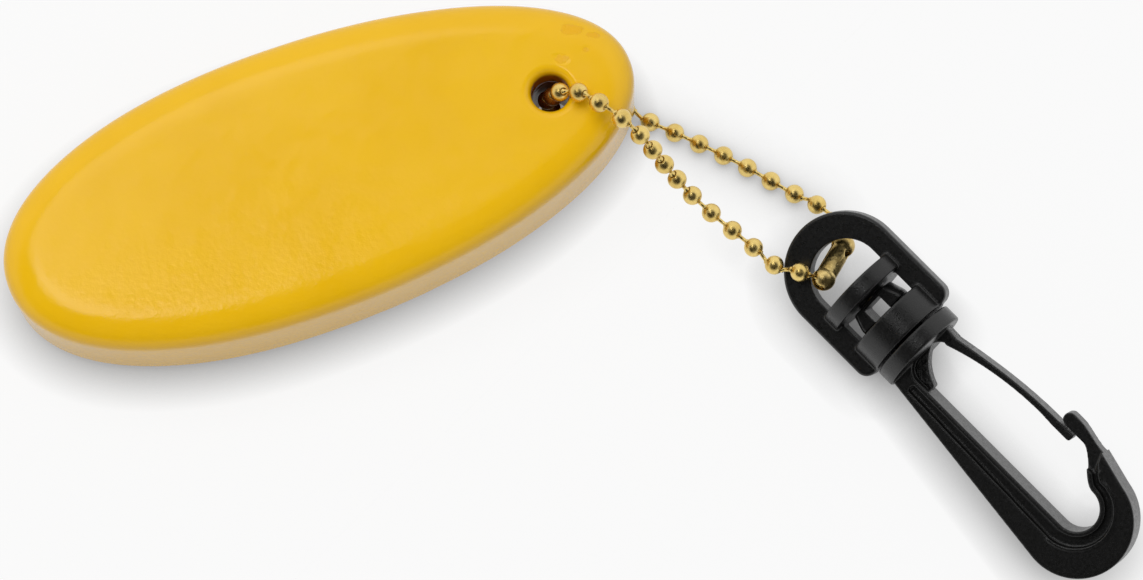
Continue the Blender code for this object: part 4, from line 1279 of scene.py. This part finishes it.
def room_tone(tree):
    """1 for what the camera sees, and for mirrors a ceiling that is dim overhead and white lower down."""
    direction = tree.nodes.new("ShaderNodeTexCoord").outputs["Generated"]
    towards = tree.nodes.new("ShaderNodeVectorMath")
    towards.operation = "DOT_PRODUCT"
    towards.inputs[1].default_value = CEILING_MIDDLE.normalized()
    tree.links.new(direction, towards.inputs[0])
    tone = tree.nodes.new("ShaderNodeMapRange")
    tone.interpolation_type = "SMOOTHSTEP"
    tone.inputs["From Min"].default_value = math.cos(CEILING_EDGE)
    tone.inputs["From Max"].default_value = math.cos(CEILING_CORE)
    tone.inputs["To Min"].default_value = 1.0
    tone.inputs["To Max"].default_value = CEILING_TONE
    tree.links.new(towards.outputs["Value"], tone.inputs["Value"])
    camera_ray = tree.nodes.new("ShaderNodeLightPath").outputs["Is Camera Ray"]
    return math_node(tree, "MAXIMUM", camera_ray, tone.outputs["Result"])


def add_lamp(name, place, size, power):
    """An area lamp that points at the origin."""
    light = bpy.data.lights.new(name, "AREA")
    light.shape = "RECTANGLE"
    light.size = size[0]
    light.size_y = size[1]
    light.energy = power
    lamp = bpy.data.objects.new(name, light)
    bpy.context.scene.collection.objects.link(lamp)
    lamp.location = place
    lamp.rotation_euler = (-Vector(place)).to_track_quat("-Z", "Y").to_euler()
    return lamp


def add_camera():
    """The photograph's camera."""
    data = bpy.data.cameras.new("camera")
    data.sensor_width = SENSOR_WIDTH
    data.lens = FOCAL_PIXELS / PHOTO_WIDTH * SENSOR_WIDTH
    data.clip_start = CLIP_START
    camera = bpy.data.objects.new("camera", data)
    bpy.context.scene.collection.objects.link(camera)
    back = CAMERA_BACK.normalized()
    right = (CAMERA_RIGHT - back * CAMERA_RIGHT.dot(back)).normalized()
    turn = Matrix((right, back.cross(right), back)).transposed().to_4x4()
    camera.matrix_world = Matrix.Translation(SWIVEL_ORIGIN + CAMERA_FROM_SWIVEL) @ turn
    bpy.context.scene.camera = camera


def main():
    bpy.context.scene.view_settings.view_transform = "Standard"
    add_camera()
    add_floor()
    add_world()
    key = add_lamp("key", KEY_PLACE, KEY_SIZE, KEY_POWER)
    key.visible_glossy = False
    add_lamp("spot_softbox", SPOT_PLACE, SPOT_SIZE, SPOT_POWER)
    softbox = add_lamp("softbox", SOFTBOX_PLACE, SOFTBOX_SIZE, SOFTBOX_POWER)
    softbox.rotation_euler = (0, 0, SOFTBOX_TURN)
    gold = brass_material("gold_plate", GOLD_LIGHT, GOLD_DARK, GOLD_ROUGHNESS, GOLD_BUMP)
    dull = brass_material("dull_brass", DULL_LIGHT, DULL_DARK, DULL_ROUGHNESS, DULL_BUMP)
    plastic = plastic_material()
    centres = [within_height(sphere_centre(bead_name(i))) for i in range(BEAD_COUNT)]
    add_float()
    add_chain(centres, gold)
    add_connector(centres, dull)
    add_swivel_loop(plastic)
    add_snap_hook(plastic)
    add_gate(plastic)


main()
